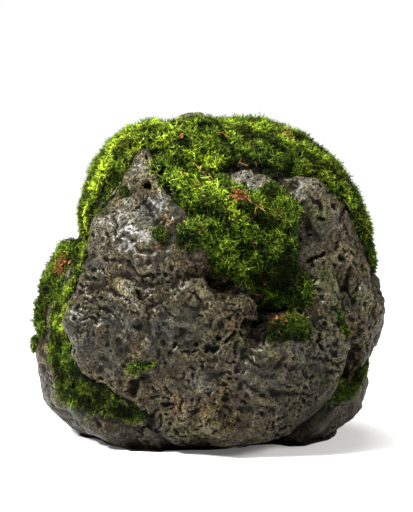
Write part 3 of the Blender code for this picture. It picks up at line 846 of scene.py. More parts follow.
# The CAD node, its slot, the kind of shoots, their length and spacing as a share of the setting,
# how much they lean downhill and stray, the range of x in m, which cuts the crown in three,
# the painted light that lightens or darkens each one's colour, and how yellow they are.
Bed = namedtuple("Bed", "node slot style length spacing lean stray across bright yellow")
WHOLE = (-math.inf, math.inf)
BEDS = {
    "crown_left": Bed("moss_crown", "moss_mid", "fine",
                      0.85, 0.92, 0.80, 0.18, (-math.inf, -0.025), 1.3, 0.6),
    "crown_middle": Bed("moss_crown", "moss_mid", "fine",
                        0.90, 0.92, 0.85, 0.20, (-0.025, 0.048), 1.05, 0.5),
    "crown_right": Bed("moss_crown", "moss_mid", "fine",
                       0.85, 0.92, 0.85, 0.20, (0.048, math.inf), 0.9, 0.5),
    "cascade": Bed("moss_cascade", "moss_mid", "leafy", 1.1, 0.85, 0.95, 0.3, WHOLE, 0.96, 0.4),
    "gully": Bed("moss_gully", "moss_bright", "fine", 0.8, 0.8, 1.0, 0.18, WHOLE, 0.95, 0.5),
    "shoulder": Bed("moss_shoulder", "moss_bright", "leafy", 0.9, 0.8, 0.8, 0.25, WHOLE, 0.72, 0.5),
    "ledge": Bed("moss_ledge", "moss_mid", "leafy", 0.9, 0.8, 0.6, 0.4, WHOLE, 0.44, 0.3),
    "knob": Bed("moss_knob", "moss_bright", "fine", 0.6, 0.7, 0.4, 0.3, WHOLE, 0.9, 0.5),
    "pit_high": Bed("moss_pit_high", "moss_dark", "fine", 0.36, 0.5, 0.2, 0.3, WHOLE, 0.58, 0.5),
    "pit_low": Bed("moss_pit_low", "moss_dark", "fine", 0.36, 0.5, 0.2, 0.3, WHOLE, 0.58, 0.5),
    "crack": Bed("moss_crack", "moss_dark", "fine", 0.6, 0.65, 0.5, 0.4, WHOLE, 0.8, 0.5),
    "foot": Bed("moss_foot", "moss_mid", "fine", 0.65, 0.7, 0.7, 0.4, WHOLE, 0.7, 0.4),
    "seam": Bed("moss_seam", "moss_dark", "fine", 0.65, 0.7, 0.6, 0.4, WHOLE, 0.8, 0.5),
}

# Patches of moss that differ, by kind: spot, radius in mm and strength. The lit kind is painted
# light on the lit side of the moss, the shade kind painted shade.
MOSS_PATCHES = {
    "painted_light": (
        (128, 142, 22, 0.9), (98, 180, 20, 0.9), (160, 122, 14, 0.7), (84, 225, 14, 0.7),
        (205, 160, 20, 1.0), (235, 130, 22, 0.5), (325, 172, 22, 0.5), (200, 195, 18, 0.6),
        (182, 178, 14, 0.6), (60, 262, 18, 0.5), (70, 285, 12, 0.9), (60, 320, 12, 0.8),
        (270, 192, 12, 0.4), (305, 235, 12, 0.3), (352, 215, 10, 0.4), (38, 352, 8, 0.6),
        (55, 342, 9, 0.5), (285, 130, 20, 0.3),
    ),
    "shade": (
        (260, 162, 16, 0.9), (290, 168, 12, 0.7), (290, 300, 16, 1.0), (262, 272, 16, 0.7),
        (278, 245, 12, 0.6), (240, 222, 9, 0.5), (235, 252, 12, 0.5), (290, 332, 18, 0.7),
        (205, 232, 12, 0.6), (350, 390, 20, 0.9), (90, 385, 16, 0.6), (130, 412, 18, 0.7),
        (62, 388, 12, 0.5), (330, 312, 12, 0.5), (110, 200, 8, 0.4), (250, 205, 8, 0.4),
        (343, 235, 8, 0.4), (78, 330, 10, 0.5), (290, 285, 18, 1.0), (272, 252, 12, 0.8),
        (300, 230, 9, 0.7), (212, 252, 9, 0.6), (228, 270, 9, 0.7), (244, 292, 9, 0.7),
        (182, 232, 9, 0.7), (196, 208, 9, 0.6), (290, 340, 14, 0.8), (270, 335, 8, 0.7),
        (75, 372, 12, 0.7), (104, 398, 14, 0.7), (64, 345, 8, 0.5), (84, 390, 10, 0.7),
        (84, 372, 16, 1.0), (72, 366, 12, 1.0), (112, 405, 12, 0.7), (70, 352, 8, 0.6),
        (184, 238, 12, 1.0), (284, 285, 16, 0.8), (300, 262, 9, 0.6),
    ),
    "long": (
        (210, 243, 8, 0.8), (226, 262, 9, 0.9), (242, 283, 10, 1.0), (256, 300, 9, 1.0),
        (322, 283, 10, 0.9), (345, 236, 8, 0.9), (371, 243, 8, 0.9), (180, 238, 7, 0.5),
        (205, 162, 16, 0.7), (312, 262, 9, 0.5), (290, 345, 8, 0.6), (258, 172, 9, 0.6),
    ),
    "dead": (
        (62, 263, 9, 1.0), (56, 272, 7, 0.8), (78, 374, 9, 0.8), (62, 378, 9, 0.7),
        (92, 390, 8, 0.7), (236, 195, 7, 0.9), (165, 156, 7, 0.5), (188, 214, 7, 0.6),
        (108, 404, 9, 0.6), (288, 134, 6, 0.8), (276, 212, 4, 0.7), (285, 320, 9, 0.5),
        (36, 290, 6, 0.6), (82, 205, 5, 0.5), (272, 345, 8, 0.4),
    ),
    "bare": (
        (88, 399, 4, 0.9), (70, 386, 3, 0.8), (98, 372, 4, 0.8), (104, 412, 4, 0.8),
        (122, 402, 4, 0.9), (60, 352, 3, 0.7), (142, 152, 3, 0.7), (186, 136, 3, 0.8),
        (196, 203, 3, 0.8), (234, 168, 6, 1.0), (246, 167, 7, 1.0), (258, 169, 6, 1.0),
        (240, 189, 5, 0.9), (252, 187, 5, 0.9), (264, 185, 4, 0.7), (190, 113, 15, 1.0),
        (232, 193, 6, 0.9), (240, 205, 5, 0.7), (150, 158, 8, 1.0), (158, 172, 9, 1.0),
        (165, 186, 8, 1.0), (137, 156, 6, 1.0), (170, 197, 5, 0.9), (118, 392, 5, 0.6),
    ),
}

# Where a bed spreads over the rock towards the right of the frame: spot, radius and reach in mm.
SPREADS = {"moss_cascade": ((284, 208, 22, 9), (303, 276, 17, 8))}

# How far the small cushions stand out beyond their solids, in m.
SWELL = {"moss_pit_high": 0.0040, "moss_pit_low": 0.0042}

# Lines of painted highlight along the moss's crests, and its creases, which are sunk and darkened
# with painted shade: the spots that they run through, width in mm and strength.
MOSS_LINES = {
    "highlight_line": (
        (((177, 117), (155, 122), (130, 132), (112, 147), (102, 162), (97, 175), (92, 187),
          (87, 200), (84, 212), (84, 235), (82, 255), (76, 275), (70, 295)), 3.6, 1.0),
        (((70, 295), (64, 310), (62, 325), (66, 340)), 3.0, 0.8),
        (((205, 121), (180, 127), (165, 137), (147, 145), (130, 150), (115, 160)), 4.5, 0.7),
        (((182, 130), (200, 122), (225, 119), (255, 124), (270, 131), (290, 140), (310, 148),
          (325, 158), (338, 172)), 6.0, 0.7),
        (((340, 176), (348, 192), (356, 210), (364, 228)), 3.0, 0.4),
        (((186, 172), (200, 185), (212, 188), (225, 197), (237, 210), (247, 221), (258, 236)),
          5.0, 0.9),
        (((258, 188), (268, 183), (280, 187), (289, 198), (291, 210)), 5.0, 0.5),
        (((304, 210), (312, 222), (314, 240), (316, 262), (324, 284)), 3.0, 0.7),
        (((214, 232), (228, 244), (240, 262), (252, 282)), 3.6, 0.5),
        (((38, 284), (48, 268), (58, 252), (68, 240)), 3.6, 0.5),
        (((54, 352), (64, 366), (74, 382), (92, 398)), 3.4, 0.5),
        (((268, 322), (284, 320), (302, 324)), 3.0, 0.5),
    ),
    "crease": (
        (((120, 160), (105, 182), (97, 200), (92, 212), (90, 225), (88, 250)), 3.4, 0.8),
        (((196, 131), (178, 137), (160, 149), (150, 151)), 2.6, 0.6),
        (((160, 127), (140, 138), (122, 150), (110, 166)), 2.2, 0.6),
        (((218, 124), (224, 135), (230, 147), (236, 162)), 3.0, 1.0),
        (((236, 160), (250, 164), (270, 166), (287, 174), (306, 180)), 4.0, 0.9),
        (((262, 140), (280, 150), (296, 160)), 2.4, 0.5),
        (((240, 137), (256, 146), (268, 156)), 2.2, 0.5),
        (((330, 160), (336, 178), (346, 196)), 2.4, 0.6),
        (((226, 188), (236, 194), (246, 199), (255, 206), (257, 217), (262, 227)), 3.4, 1.0),
        (((262, 227), (258, 242), (262, 254), (276, 264)), 3.2, 0.8),
        (((296, 206), (297, 220), (303, 236), (300, 252)), 3.0, 0.8),
        (((272, 250), (280, 262), (286, 280), (284, 298)), 8.0, 1.0),
        (((192, 206), (200, 216), (212, 226)), 3.4, 0.8),
        (((176, 190), (186, 200), (196, 204)), 2.4, 0.6),
        (((222, 222), (236, 236), (248, 254), (258, 274)), 3.0, 0.7),
        (((40, 296), (52, 282), (62, 268), (70, 252)), 2.6, 0.8),
        (((68, 362), (80, 372), (92, 384)), 3.0, 0.7),
        (((268, 334), (284, 338), (304, 336)), 3.0, 0.8),
    ),
}


def new_mesh(name, points, faces, value, values):
    """A mesh from points and faces, with a value stored for each point."""
    mesh = bpy.data.meshes.new(name)
    mesh.from_pydata([tuple(p) for p in points], [], faces)
    set_values(mesh, value, values)
    return mesh


def shoot_mesh(name, seed, bend, leaf, opened, joints=4):
    """One shoot of unit length: narrow leaves, two at each joint of a stem that curves over."""
    rng = np.random.default_rng(seed)
    heights = np.linspace(0, 1, joints + 1)
    angles = bend * heights
    stem = [np.zeros(3)]
    for angle in (angles[:-1] + angles[1:]) / 2:
        stem.append(stem[-1] + np.array([math.sin(angle), 0, math.cos(angle)]) / joints)
    points, tips, faces = [], [], []
    turn = rng.random() * 6.28
    for joint in range(joints):
        angle = angles[joint]
        axis = np.array([math.sin(angle), 0, math.cos(angle)])
        side = np.array([math.cos(angle), 0, -math.sin(angle)])
        other = np.array([0.0, 1.0, 0.0])
        for _ in range(2):
            turn += 2.4 + 0.3 * rng.standard_normal()
            out = math.cos(turn) * side + math.sin(turn) * other
            across = -math.sin(turn) * side + math.cos(turn) * other
            size = leaf * (1.2 - 0.5 * heights[joint]) * (0.85 + 0.3 * rng.random())
            reach = math.sin(opened) * out + math.cos(opened) * axis
            count = len(points)
            points += [stem[joint] + across * 0.05,
                       stem[joint] * 0.4 + stem[joint + 1] * 0.6 - across * 0.05,
                       stem[joint] + reach * size]
            tips += [heights[joint] * 0.85, heights[joint + 1] * 0.85,
                     min(1.0, heights[joint] * 0.9 + 0.3)]
            faces.append((count, count + 1, count + 2))
    count = len(points)
    points += [stem[-2] + np.array([0.0, 0.07, 0.0]), stem[-2] - np.array([0.0, 0.07, 0.0]),
               stem[-1] + np.array([math.sin(bend), 0, math.cos(bend)]) * 0.12]
    tips += [0.7, 0.7, 1.0]
    faces.append((count, count + 1, count + 2))
    return new_mesh(name, points, faces, "tip", tips)


def tuft_mesh(name, seed, bend, fan):
    """A tuft of unit length: three narrow blades that fan out and curve over."""
    rng = np.random.default_rng(seed)
    points, tips, faces = [], [], []
    for blade in range(3):
        turn = blade * 2.09 + rng.random()
        out = np.array([math.cos(turn), math.sin(turn), 0])
        across = np.array([-math.sin(turn), math.cos(turn), 0]) * 0.5
        if blade == 0:
            across = np.array([0.0, 0.5, 0.0])
        tall = 1.0 - 0.22 * blade * rng.random()
        spots = []
        for height in (0.0, 0.5, 1.0):
            over = bend * height**2
            spots.append(out * (0.07 + fan * height) * tall
                         + tall * height * np.array([math.sin(over), 0, math.cos(over)]))
        count = len(points)
        points += [spots[0] - across * 0.10, spots[0] + across * 0.10, spots[1] - across * 0.085,
                   spots[1] + across * 0.085, spots[2]]
        tips += [0.1, 0.1, 0.6, 0.6, 1.0]
        faces += [(count, count + 1, count + 3), (count, count + 3, count + 2),
                  (count + 2, count + 3, count + 4)]
    return new_mesh(name, points, faces, "tip", tips)


def shoot_kinds():
    """Two collections of shoots, mostly fine tufts and mostly leafy shoots, for the beds."""
    leafy = [shoot_mesh(f"leafy_{index}", 11 + index, *shape) for index, shape in enumerate(
        ((0.5, 0.28, 0.50), (1.2, 0.25, 0.50), (1.9, 0.24, 0.55)))]
    tufts = [tuft_mesh(f"tuft_{index}", 31 + index, *shape) for index, shape in enumerate(
        ((0.5, 0.16), (0.9, 0.22), (1.3, 0.14), (0.2, 0.26)))]
    kinds = {}
    for style, meshes in (("fine", tufts + leafy[:1]), ("leafy", leafy + tufts[1:3])):
        kinds[style] = bpy.data.collections.new(style + " shoots")
        for index, mesh in enumerate(meshes):
            kinds[style].objects.link(bpy.data.objects.new(f"{style}_{index}", mesh))
    return kinds


def bed_tree():
    """The node group that plants a bed of moss with shoots and joins them to it."""
    n, start, end = group_tree(
        "moss bed", "GeometryNodeTree",
        {"Geometry": "NodeSocketGeometry", "Shoots": "NodeSocketCollection",
         "Spacing": "NodeSocketFloat", "Length": "NodeSocketFloat", "Stray": "NodeSocketFloat",
         "Seed": "NodeSocketInt", "Material": "NodeSocketMaterial"},
        {"Geometry": "NodeSocketGeometry"},
    )

    def stored(name, kind="FLOAT"):
        return n.add("GeometryNodeInputNamedAttribute", name, data_type=kind)

    def drawn(kind, low, high, seed):
        return n.add("FunctionNodeRandomValue", low, high, None, seed, data_type=kind)

    points = n.add("GeometryNodeDistributePointsOnFaces", start["Geometry"], None,
                   start["Spacing"], MOST_SHOOTS, stored("cover"), start["Seed"],
                   distribute_method="POISSON")
    stray = n.add("ShaderNodeVectorMath", drawn("FLOAT_VECTOR", (-1, -1, -1), (1, 1, 1), 21),
                  start["Stray"], operation="SCALE")
    lean = n.add("ShaderNodeVectorMath", stored("lean", "FLOAT_VECTOR"), stray, operation="ADD")
    upright = n.add("FunctionNodeAlignRotationToVector", None, None, lean, axis="Z")
    spin = n.add("FunctionNodeAxisAngleToRotation", (0, 0, 1),
                 drawn("FLOAT", -3.1416, 3.1416, 22))
    turned = n.add("FunctionNodeRotateRotation", upright, spin, rotation_space="LOCAL")
    size = n.times(start["Length"], drawn("FLOAT", 0.65, 1.25, 24))
    size = n.times(size, stored("vigour"))
    shoots = n.add("GeometryNodeCollectionInfo", start["Shoots"], True, True)
    placed = n.add("GeometryNodeInstanceOnPoints", points, None, shoots, True,
                   drawn("INT", 0, 4, 23), turned, size)
    toned = n.add("GeometryNodeStoreNamedAttribute", placed, None, "tone",
                  drawn("FLOAT", 0.0, 1.0, 25), data_type="FLOAT", domain="INSTANCE")
    joined = n.add("GeometryNodeJoinGeometry", n.add("GeometryNodeRealizeInstances", toned))
    n.tree.links.new(start["Geometry"], joined.node.inputs[0])
    painted = n.add("GeometryNodeSetMaterial", joined, None, start["Material"])
    n.tree.links.new(painted, end[0])
    return n.tree


def moss_material(settings, name, bright, yellow):
    """Painted shade down between the shoots and on the mat, young tips lightened partly as painted
    light through the leaves, painted light and shade by bed, patch, clumps and crease, and tone by
    shoot.
    """
    material, n, shader = new_material(name, 0.62, 0.05)
    where = n.add("ShaderNodeTexCoord", out="Object")
    tip, tone, painted_light = n.attribute("tip"), n.attribute("tone"), n.attribute("painted_light")
    drift = n.rise(n.noise(where, 45, 4, 0.65), 0.36, 0.64)
    deep, leaf, young = (np.array(c) for c in (settings.deep, settings.leaf, settings.tip))
    # Painted light: each bed's colours are scaled by how much light falls on it.
    young = young * (bright * np.array([0.75 + 0.45 * yellow, 1.0, 1.0]))
    # Painted shade towards the roots and on the mat, where shade falls between the shoots.
    colour = n.mix(n.rise(tip, 0.26, 0.82), deep, leaf * bright)
    # Tips turn young, more so in the lit patches; their lightness is partly painted light through
    # the leaves.
    fresh = n.plus(n.plus(0.12, n.times(drift, 0.45)), n.times(painted_light, 0.75))
    fresh = n.times(n.rise(tip, 0.45, 1.0), fresh, use_clamp=True)
    colour = n.mix(fresh, colour, young)
    colour = n.tint(colour, n.mix(tone, (0.32, 0.38, 0.45), (1.85, 1.75, 1.40)))
    # Painted light and shade by clumps: the gaps between noise clumps are darkened and their tops
    # lightened.
    clump_shading = n.rise(n.noise(where, 230, 2, 0.5), 0.40, 0.60)
    colour = n.tint(colour, n.mix(clump_shading, (0.34, 0.40, 0.44), (1.52, 1.45, 1.22)))
    dead = n.times(n.attribute("dead"), n.rise(tone, 0.25, 0.85))
    colour = n.mix(dead, colour, settings.dead)
    # Painted light on the lit patches, which are lightened and yellowed, the rest a little dimmed;
    # then painted shade on the shade patches.
    colour = n.tint(colour, n.mix(painted_light, (0.85, 0.85, 0.9), (1.45, 1.35, 1.0)))
    colour = n.tint(colour, n.mix(n.attribute("shade"), (1.0, 1.0, 1.0), (0.25, 0.34, 0.36)))
    # Painted shade down in the hollows and creases between the pillows.
    colour = n.mix(n.times(n.attribute("crease_shade"), 0.90), colour, deep * 0.5)
    colour = n.mix(n.times(n.rise(tone, 0.988, 0.992), 0.8), colour, settings.straw)
    n.tree.links.new(colour, shader.inputs["Base Color"])
    return material


def side_of(rock, spot):
    """How far a point lies outside the stone's nearest face, and that face's normal."""
    point, normal, _, away = rock.find_nearest(spot)
    return (Vector(spot) - point).dot(normal), normal, away


def moss_mat(bed, rock, seen, settings):
    """The close mat under the shoots, with the way that they grow from each point of it."""
    mesh = remeshed(welded(bed.node), MAT_DETAIL)
    spots, edges = points_of(mesh), edges_of(mesh)
    normals = unit(spread(normals_of(mesh), edges, 6))
    thin = bed.node in THIN_BEDS
    thick = np.empty(len(spots))
    for index, spot in enumerate(spots.tolist()):
        side, _, away = side_of(rock, spot)
        thick[index] = away if side > 0 else -away
    for x, y, size, far in SPREADS.get(bed.node, ()):
        away = away_from(spots, seen, x, y, size)
        shift = (1 - smooth(0.2, 1.0, away)) * (thick > 0) * far / 1000
        spots += np.array(camera_axes()[2]) * shift[:, None]
        for index in np.flatnonzero(shift > 0).tolist():
            side, normal, _ = side_of(rock, spots[index].tolist())
            spots[index] += np.array(normal) * (thick[index] - side)
    lumps = clouds(spots, 0.014, 1.0, 3)
    strays = spots + 0.004 * field(noise.noise_vector, spots, 0.02)
    pillow = smooth(0.15, 0.75, field(lambda p: noise.voronoi(p)[0][0], strays, 0.0145))
    shape = {}
    for kind, lines in MOSS_LINES.items():
        shape[kind] = np.zeros(len(spots))
        for line, width, strength in lines:
            near = groove_depth(strays * 0.5 + spots * 0.5, line_on(seen, line),
                                0.0014 * width, strength, lumps)
            shape[kind] = np.maximum(shape[kind], near)
    highlight_line, crease = shape["highlight_line"], shape["crease"]
    outer = thick > 0.0002
    deepest = min(0.0045, np.percentile(thick[outer], 85))
    inset = np.clip(thick * (0.15 if thin else 0.55), 0, settings.inset)
    inset += np.clip(thick * 0.35, 0, 0.0024) * np.clip(1.1 * pillow - 0.25 - 0.5 * lumps, 0, 1)
    inset += np.clip(thick * 0.5, 0, 0.0030) * crease
    tints = {kind: patched(spots, seen, patches, 0.2, 0.4 * lumps)
             for kind, patches in MOSS_PATCHES.items()}
    # Where the bed is bare its mat sinks into the stone, which then shows.
    inset += (thick + 0.0012 - inset) * smooth(0.35, 0.60, tints["bare"])
    inset -= SWELL.get(bed.node, 0) * smooth(0.0, 0.0012, thick)
    set_points(mesh, spots - normals * (inset * outer)[:, None])

    steep = 1 - np.clip(normals[:, 2], 0, 1)
    down = np.zeros_like(normals)
    down[:, 2] = -1
    down -= normals * (down * normals).sum(1)[:, None]
    lean = normals + down * (bed.lean * (0.35 + steep))[:, None] + np.array([0, 0, 0.15])
    lean = lean + 0.45 * field(noise.noise_vector, spots, 0.009)
    set_values(mesh, "lean", unit(lean))
    # Painted light along the crests' lines too, and none in the creases.
    tints["painted_light"] = np.maximum(tints["painted_light"], highlight_line) * (1 - crease)
    ragged = smooth(-0.25, 0.15, clouds(spots, 0.010, 0.8, 4)
                    + smooth(0.1 * deepest, 0.93 * deepest, thick) * 1.2 - (0.10 if thin else 0.40))
    low, high = bed.across
    cover = outer * (spots[:, 0] >= low) * (spots[:, 0] < high)
    set_values(mesh, "cover", cover * ragged * (1 - smooth(0.2, 0.5, tints["bare"])))
    # Painted shade in the hollows between the pillows and in the creases, less of it behind, where
    # the sward is closer.
    crease_shade = smooth(0.5, 1.0, pillow - 0.3 * lumps) * smooth(0.001, 0.004, thick) * (1 - highlight_line)
    crease_shade *= 1 - 0.55 * smooth(-0.02, 0.04, spots[:, 1])  # a closer sward behind
    set_values(mesh, "crease_shade", np.maximum(crease_shade, crease))
    for name, values in tints.items():
        set_values(mesh, name, values)
    tall = (0.5 + 0.5 * smooth(0.1 * deepest, deepest, thick)) * (1 - 0.5 * tints["bare"])
    tall *= 1 - 0.35 * crease
    tall *= (1 + 0.55 * tints["long"]) * (1 + 0.35 * clouds(spots, 0.006, 1.0, 2))
    set_values(mesh, "vigour", tall)
    return mesh


def trimmed(mesh, low, high):
    """Takes off the faces whose middle lies outside a range of x."""
    bm = bmesh.new()
    bm.from_mesh(mesh)
    far = [face for face in bm.faces if not low <= face.calc_center_median().x <= high]
    bmesh.ops.delete(bm, geom=far, context="FACES")
    bm.to_mesh(mesh)
    bm.free()


def grow(piece, bed, mesh, kinds, tree, settings):
    """Plants a bed's mat with shoots and makes one plain mesh of it all."""
    obj = new_object("moss_bed_" + piece, mesh)
    modifier = obj.modifiers.new("bed", "NODES")
    modifier.node_group = tree
    wanted = {
        "Shoots": kinds[bed.style],
        "Spacing": settings.spacing * bed.spacing,
        "Length": settings.length * bed.length,
        "Stray": bed.stray,
        "Seed": settings.seed,
        "Material": moss_material(settings, piece + " moss", bed.bright, bed.yellow),
    }
    for item in tree.interface.items_tree:
        if item.in_out == "INPUT" and item.name in wanted:
            modifier[item.identifier] = wanted[item.name]
    made = evaluated(obj)
    obj.modifiers.clear()
    obj.data = made
    finish_piece(obj, [bed.node], bed.slot, smooth_faces=False)


class MossOperator(Operator):
    """Lays the beds of moss and plants them with shoots"""

    bl_idname = "mossy_rock.moss"
    bl_label = "Moss"

    def execute(self, context):
        settings = context.scene.mossy_rock_moss
        noise.seed_set(settings.seed)
        rock, seen = tree_of(welded("rock")), everything_tree()
        kinds, tree = shoot_kinds(), bed_tree()
        for piece, bed in BEDS.items():
            mesh = moss_mat(bed, rock, seen, settings)
            if bed.across != WHOLE:
                trimmed(mesh, *bed.across)
            grow(piece, bed, mesh, kinds, tree, settings)
        for kind in kinds.values():
            for obj in list(kind.objects):
                bpy.data.objects.remove(obj)
            bpy.data.collections.remove(kind)
        return {"FINISHED"}


# ---------------------------------------------------------------- the litter

# Kinds of dry scraps, with lengths in m: the length and how much longer some are, the width and
# the share of the length that comes on top of it, the thickness, the height over the moss, the
# curl and how much more some curl, the tone and how much lighter some are.
Scrap = namedtuple("Scrap", "length longer width wider thick above curl curlier tone lighter")
SCRAPS = {
    "scrap": Scrap(0.0018, 0.0024, 0.0, 0.55, 0.00035, 0.0002, 0.1, 0.3, 0.0, 1.0),
    "fibre": Scrap(0.0028, 0.0030, 0.0004, 0.0, 0.0004, 0.0006, 0.0, 0.35, 0.1, 0.5),
    "needle": Scrap(0.0055, 0.0035, 0.00055, 0.0, 0.0005, 0.0010, 0.0, 0.12, 0.55, 0.45),
}

# For each piece the CAD nodes that it lies on, its slot, and its scraps: kind, spot, spread in
# mm and how many.
LITTER = {
    "upper": (("moss_crown", "moss_cascade"), "moss_mid", (
        ("scrap", 236, 193, 7, 22), ("scrap", 242, 198, 5, 12), ("scrap", 277, 213, 3, 5),
        ("scrap", 288, 134, 6, 12), ("scrap", 184, 136, 3, 3), ("scrap", 161, 159, 3, 4),
        ("scrap", 200, 225, 6, 7), ("scrap", 236, 219, 2, 2), ("scrap", 172, 152, 8, 4),
        ("scrap", 184, 177, 3, 3), ("scrap", 183, 217, 4, 4), ("scrap", 262, 176, 3, 2),
        ("needle", 253, 205, 6, 5), ("needle", 286, 131, 5, 5), ("needle", 240, 162, 5, 3),
        ("needle", 262, 296, 4, 2), ("needle", 208, 178, 8, 3), ("needle", 225, 136, 8, 3),
        ("fibre", 238, 196, 8, 16), ("fibre", 200, 225, 6, 8),
    )),
    "shoulder": (("moss_shoulder",), "moss_bright", (
        ("fibre", 62, 262, 8, 46), ("fibre", 57, 271, 6, 22), ("scrap", 62, 264, 6, 6),
    )),
    "ledge": (("moss_ledge",), "moss_mid", (
        ("fibre", 280, 318, 8, 12), ("scrap", 281, 317, 6, 8), ("needle", 284, 316, 8, 7),
    )),
}
STALK = ((195, 163), (203, 173), (211, 183), (220, 193))  # one long one, over the crown's edge


def sliver(spot, along, up, length, width, thick, curl):
    """A thin closed scrap that narrows at both ends and curls up: its points and faces."""
    across = along.cross(up).normalized()
    points, faces = [], []
    for step, wide in enumerate((0.25, 1.0, 0.85, 0.15)):
        share = step / 3 - 0.5
        middle = spot + along * (share * length) + up * (curl * share * share * 4 * length)
        points += [middle + across * (width * wide * side) + up * (thick * rise)
                   for side, rise in ((-0.5, 0), (0.5, 0), (0.5, 1), (-0.5, 1))]
    for step in range(3):
        for corner in range(4):
            a, b = 4 * step + corner, 4 * step + (corner + 1) % 4
            faces.append((a, a + 4, b + 4, b))
    faces += [(0, 1, 2, 3), (15, 14, 13, 12)]
    return points, faces


def litter_material():
    material, n, shader = new_material("dry scraps", 0.7, 0.15)
    tone = n.attribute("tone")
    colour = n.mix(n.rise(tone, 0.0, 0.55), (0.035, 0.012, 0.004), (0.210, 0.068, 0.016))
    colour = n.mix(n.rise(tone, 0.60, 1.0), colour, (0.300, 0.185, 0.065))
    n.tree.links.new(colour, shader.inputs["Base Color"])
    return material


class LitterOperator(Operator):
    """Scatters scraps of dry leaves, needles and a stalk on the moss"""

    bl_idname = "mossy_rock.litter"
    bl_label = "Litter"

    def execute(self, context):
        material, seen = litter_material(), everything_tree()
        rng = np.random.default_rng(LITTER_SEED)
        for piece, (nodes, slot, groups) in LITTER.items():
            ground = [tree_of(frame["nodes"][node].data) for node in nodes]
            points, faces, tones = [], [], []

            def lie_on(spot):
                """The nearest point of the moss and its normal."""
                found = [tree.find_nearest(spot) for tree in ground]
                return min(found, key=lambda hit: hit[3])[:2]

            def lay(tone, *shape):
                made, sides = sliver(*shape)
                faces.extend(tuple(i + len(points) for i in side) for side in sides)
                points.extend(tuple(p) for p in made)
                tones.extend([tone] * len(made))

            for kind, x, y, reach, count in groups:
                scrap, centre = SCRAPS[kind], seen_at(seen, x, y)
                for _ in range(count):
                    stray = Vector(rng.standard_normal(3) * reach * 0.0005)
                    spot, up = lie_on(centre + stray)
                    along = Vector(rng.standard_normal(3))
                    along = (along - up * along.dot(up) * 0.75).normalized()
                    tone = scrap.tone + scrap.lighter * float(rng.random())
                    length = scrap.length + scrap.longer * rng.random()
                    lay(tone, spot + up * scrap.above, along, up, length,
                        scrap.width + length * scrap.wider, scrap.thick,
                        scrap.curl + scrap.curlier * rng.random())
            if piece == "upper":
                line = [seen_at(seen, x, y) for x, y in STALK]
                for start, end in zip(line[:-1], line[1:]):
                    _, up = lie_on(start)
                    lay(0.95, (start + end) / 2 + up * 0.0008, (end - start).normalized(), up,
                        (end - start).length * 1.15, 0.0006, 0.0006, 0.0)
            mesh = new_mesh("litter_" + piece, points, faces, "tone", tones)
            mesh.materials.append(material)
            finish_piece(new_object("litter_" + piece, mesh), nodes, slot, smooth_faces=False)
        return {"FINISHED"}


# ---------------------------------------------------------------- the stage

LIT_AT = Vector((0, 0, 0.10))  # what the lights point at, in m
FLOOR_HALF = 6  # in m


def soft_light(name, place, size, watts, tone):
    """A round soft light that points at the stone."""
    place = Vector(place)
    data = bpy.data.lights.new(name, "AREA")
    data.shape, data.size = "DISK", size
    data.energy, data.color = watts, tone
    light = new_object(name, data)
    light.location = place
    light.rotation_euler = (LIT_AT - place).to_track_quat("-Z", "Y").to_euler()


def white_floor():
    """A floor that glows from near the stone outwards, so that it goes over into plain white."""
    bm = bmesh.new()
    bmesh.ops.create_grid(bm, x_segments=2, y_segments=2, size=FLOOR_HALF)
    mesh = bpy.data.meshes.new("floor")
    bm.to_mesh(mesh)
    bm.free()
    material, n, shader = new_material("white floor", 0.9, 0.1)
    away = n.add("ShaderNodeVectorMath", n.add("ShaderNodeTexCoord", out="Object"),
                 operation="LENGTH")
    glow = n.add("ShaderNodeMapRange", away, 0.16, 0.9, 0.10, 0.95, clamp=True)
    n.tree.links.new(glow, shader.inputs["Emission Strength"])
    shader.inputs["Base Color"].default_value = (0.93, 0.93, 0.93, 1)
    shader.inputs["Emission Color"].default_value = (1, 1, 1, 1)
    mesh.materials.append(material)
    return new_object("floor", mesh)


def surroundings(settings):
    """A white studio that lights the stone softly and shows as plain white."""
    world = bpy.data.worlds.new("surroundings")
    world.use_nodes = True
    n = Nodes(world.node_tree)
    light = next(node for node in n.tree.nodes if node.type == "BACKGROUND")
    end = next(node for node in n.tree.nodes if node.type == "OUTPUT_WORLD")
    light.inputs["Color"].default_value = (1, 1, 1, 1)
    light.inputs["Strength"].default_value = settings.sky
    white = n.add("ShaderNodeBackground", (1, 1, 1), 1.0)
    path = n.add("ShaderNodeLightPath", out="Is Camera Ray")
    mixed = n.add("ShaderNodeMixShader", path, light.outputs[0], white)
    n.tree.links.new(mixed, end.inputs["Surface"])
    return world


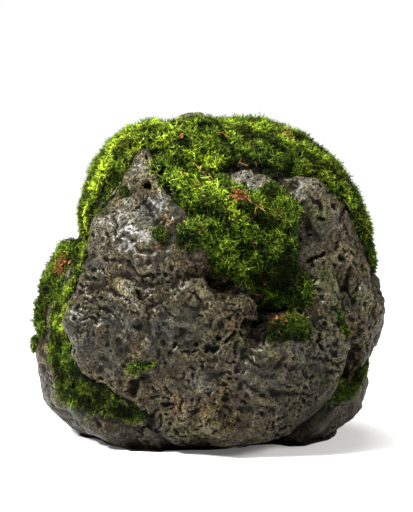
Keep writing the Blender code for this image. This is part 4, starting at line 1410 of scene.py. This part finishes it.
class StageOperator(Operator):
    """Makes the floor, the lights and the camera"""

    bl_idname = "mossy_rock.stage"
    bl_label = "Stage"

    def execute(self, context):
        scene = context.scene
        settings = scene.mossy_rock_stage
        white_floor()
        soft_light("key light", (-0.95, -0.42, 1.10), 0.45, settings.key_power, (1.0, 0.985, 0.96))
        soft_light("top light", (0.05, 0.25, 1.35), 0.8, settings.top_power, (1.0, 1.0, 1.0))
        soft_light("side light", (1.15, -0.20, 0.75), 0.7, settings.fill_power, (1.0, 0.99, 0.97))
        scene.world = surroundings(settings)

        place, back, _, _ = camera_axes()
        data = bpy.data.cameras.new("camera")
        data.lens, data.sensor_width = LENS, SENSOR
        data.shift_x = (FRAME_WIDTH / 2 - AIM_AT[0]) / FRAME_HEIGHT
        data.shift_y = (AIM_AT[1] - FRAME_HEIGHT / 2) / FRAME_HEIGHT
        data.clip_start, data.clip_end = 0.05, 30
        camera = new_object("camera", data)
        camera.location = place
        camera.rotation_euler = (-back).to_track_quat("-Z", "Y").to_euler()
        scene.camera = camera
        scene.view_settings.view_transform = "Standard"
        return {"FINISHED"}


# ---------------------------------------------------------------- the add-on


class MossyRockPanel(Panel):
    """Lists the steps that make the mossy rock"""

    bl_idname = "VIEW3D_PT_mossy_rock"
    bl_label = "Mossy Rock"
    bl_space_type = "VIEW_3D"
    bl_region_type = "UI"
    bl_category = "Mossy Rock"

    def draw(self, context):
        for operator in OPERATORS:
            self.layout.operator(operator.bl_idname)


GROUPS = {
    "mossy_rock_stone": StoneSettings,
    "mossy_rock_moss": MossSettings,
    "mossy_rock_stage": StageSettings,
}
OPERATORS = (BoulderOperator, MossOperator, LitterOperator, StageOperator)
CLASSES = (*GROUPS.values(), *OPERATORS, MossyRockPanel)


def register():
    for cls in CLASSES:
        bpy.utils.register_class(cls)
    for name, group in GROUPS.items():
        setattr(bpy.types.Scene, name, PointerProperty(type=group))


def unregister():
    for name in GROUPS:
        delattr(bpy.types.Scene, name)
    for cls in reversed(CLASSES):
        bpy.utils.unregister_class(cls)


def main():
    register()
    bpy.ops.mossy_rock.boulder()
    bpy.ops.mossy_rock.moss()
    bpy.ops.mossy_rock.litter()
    bpy.ops.mossy_rock.stage()


if __name__ == "__main__":
    main()
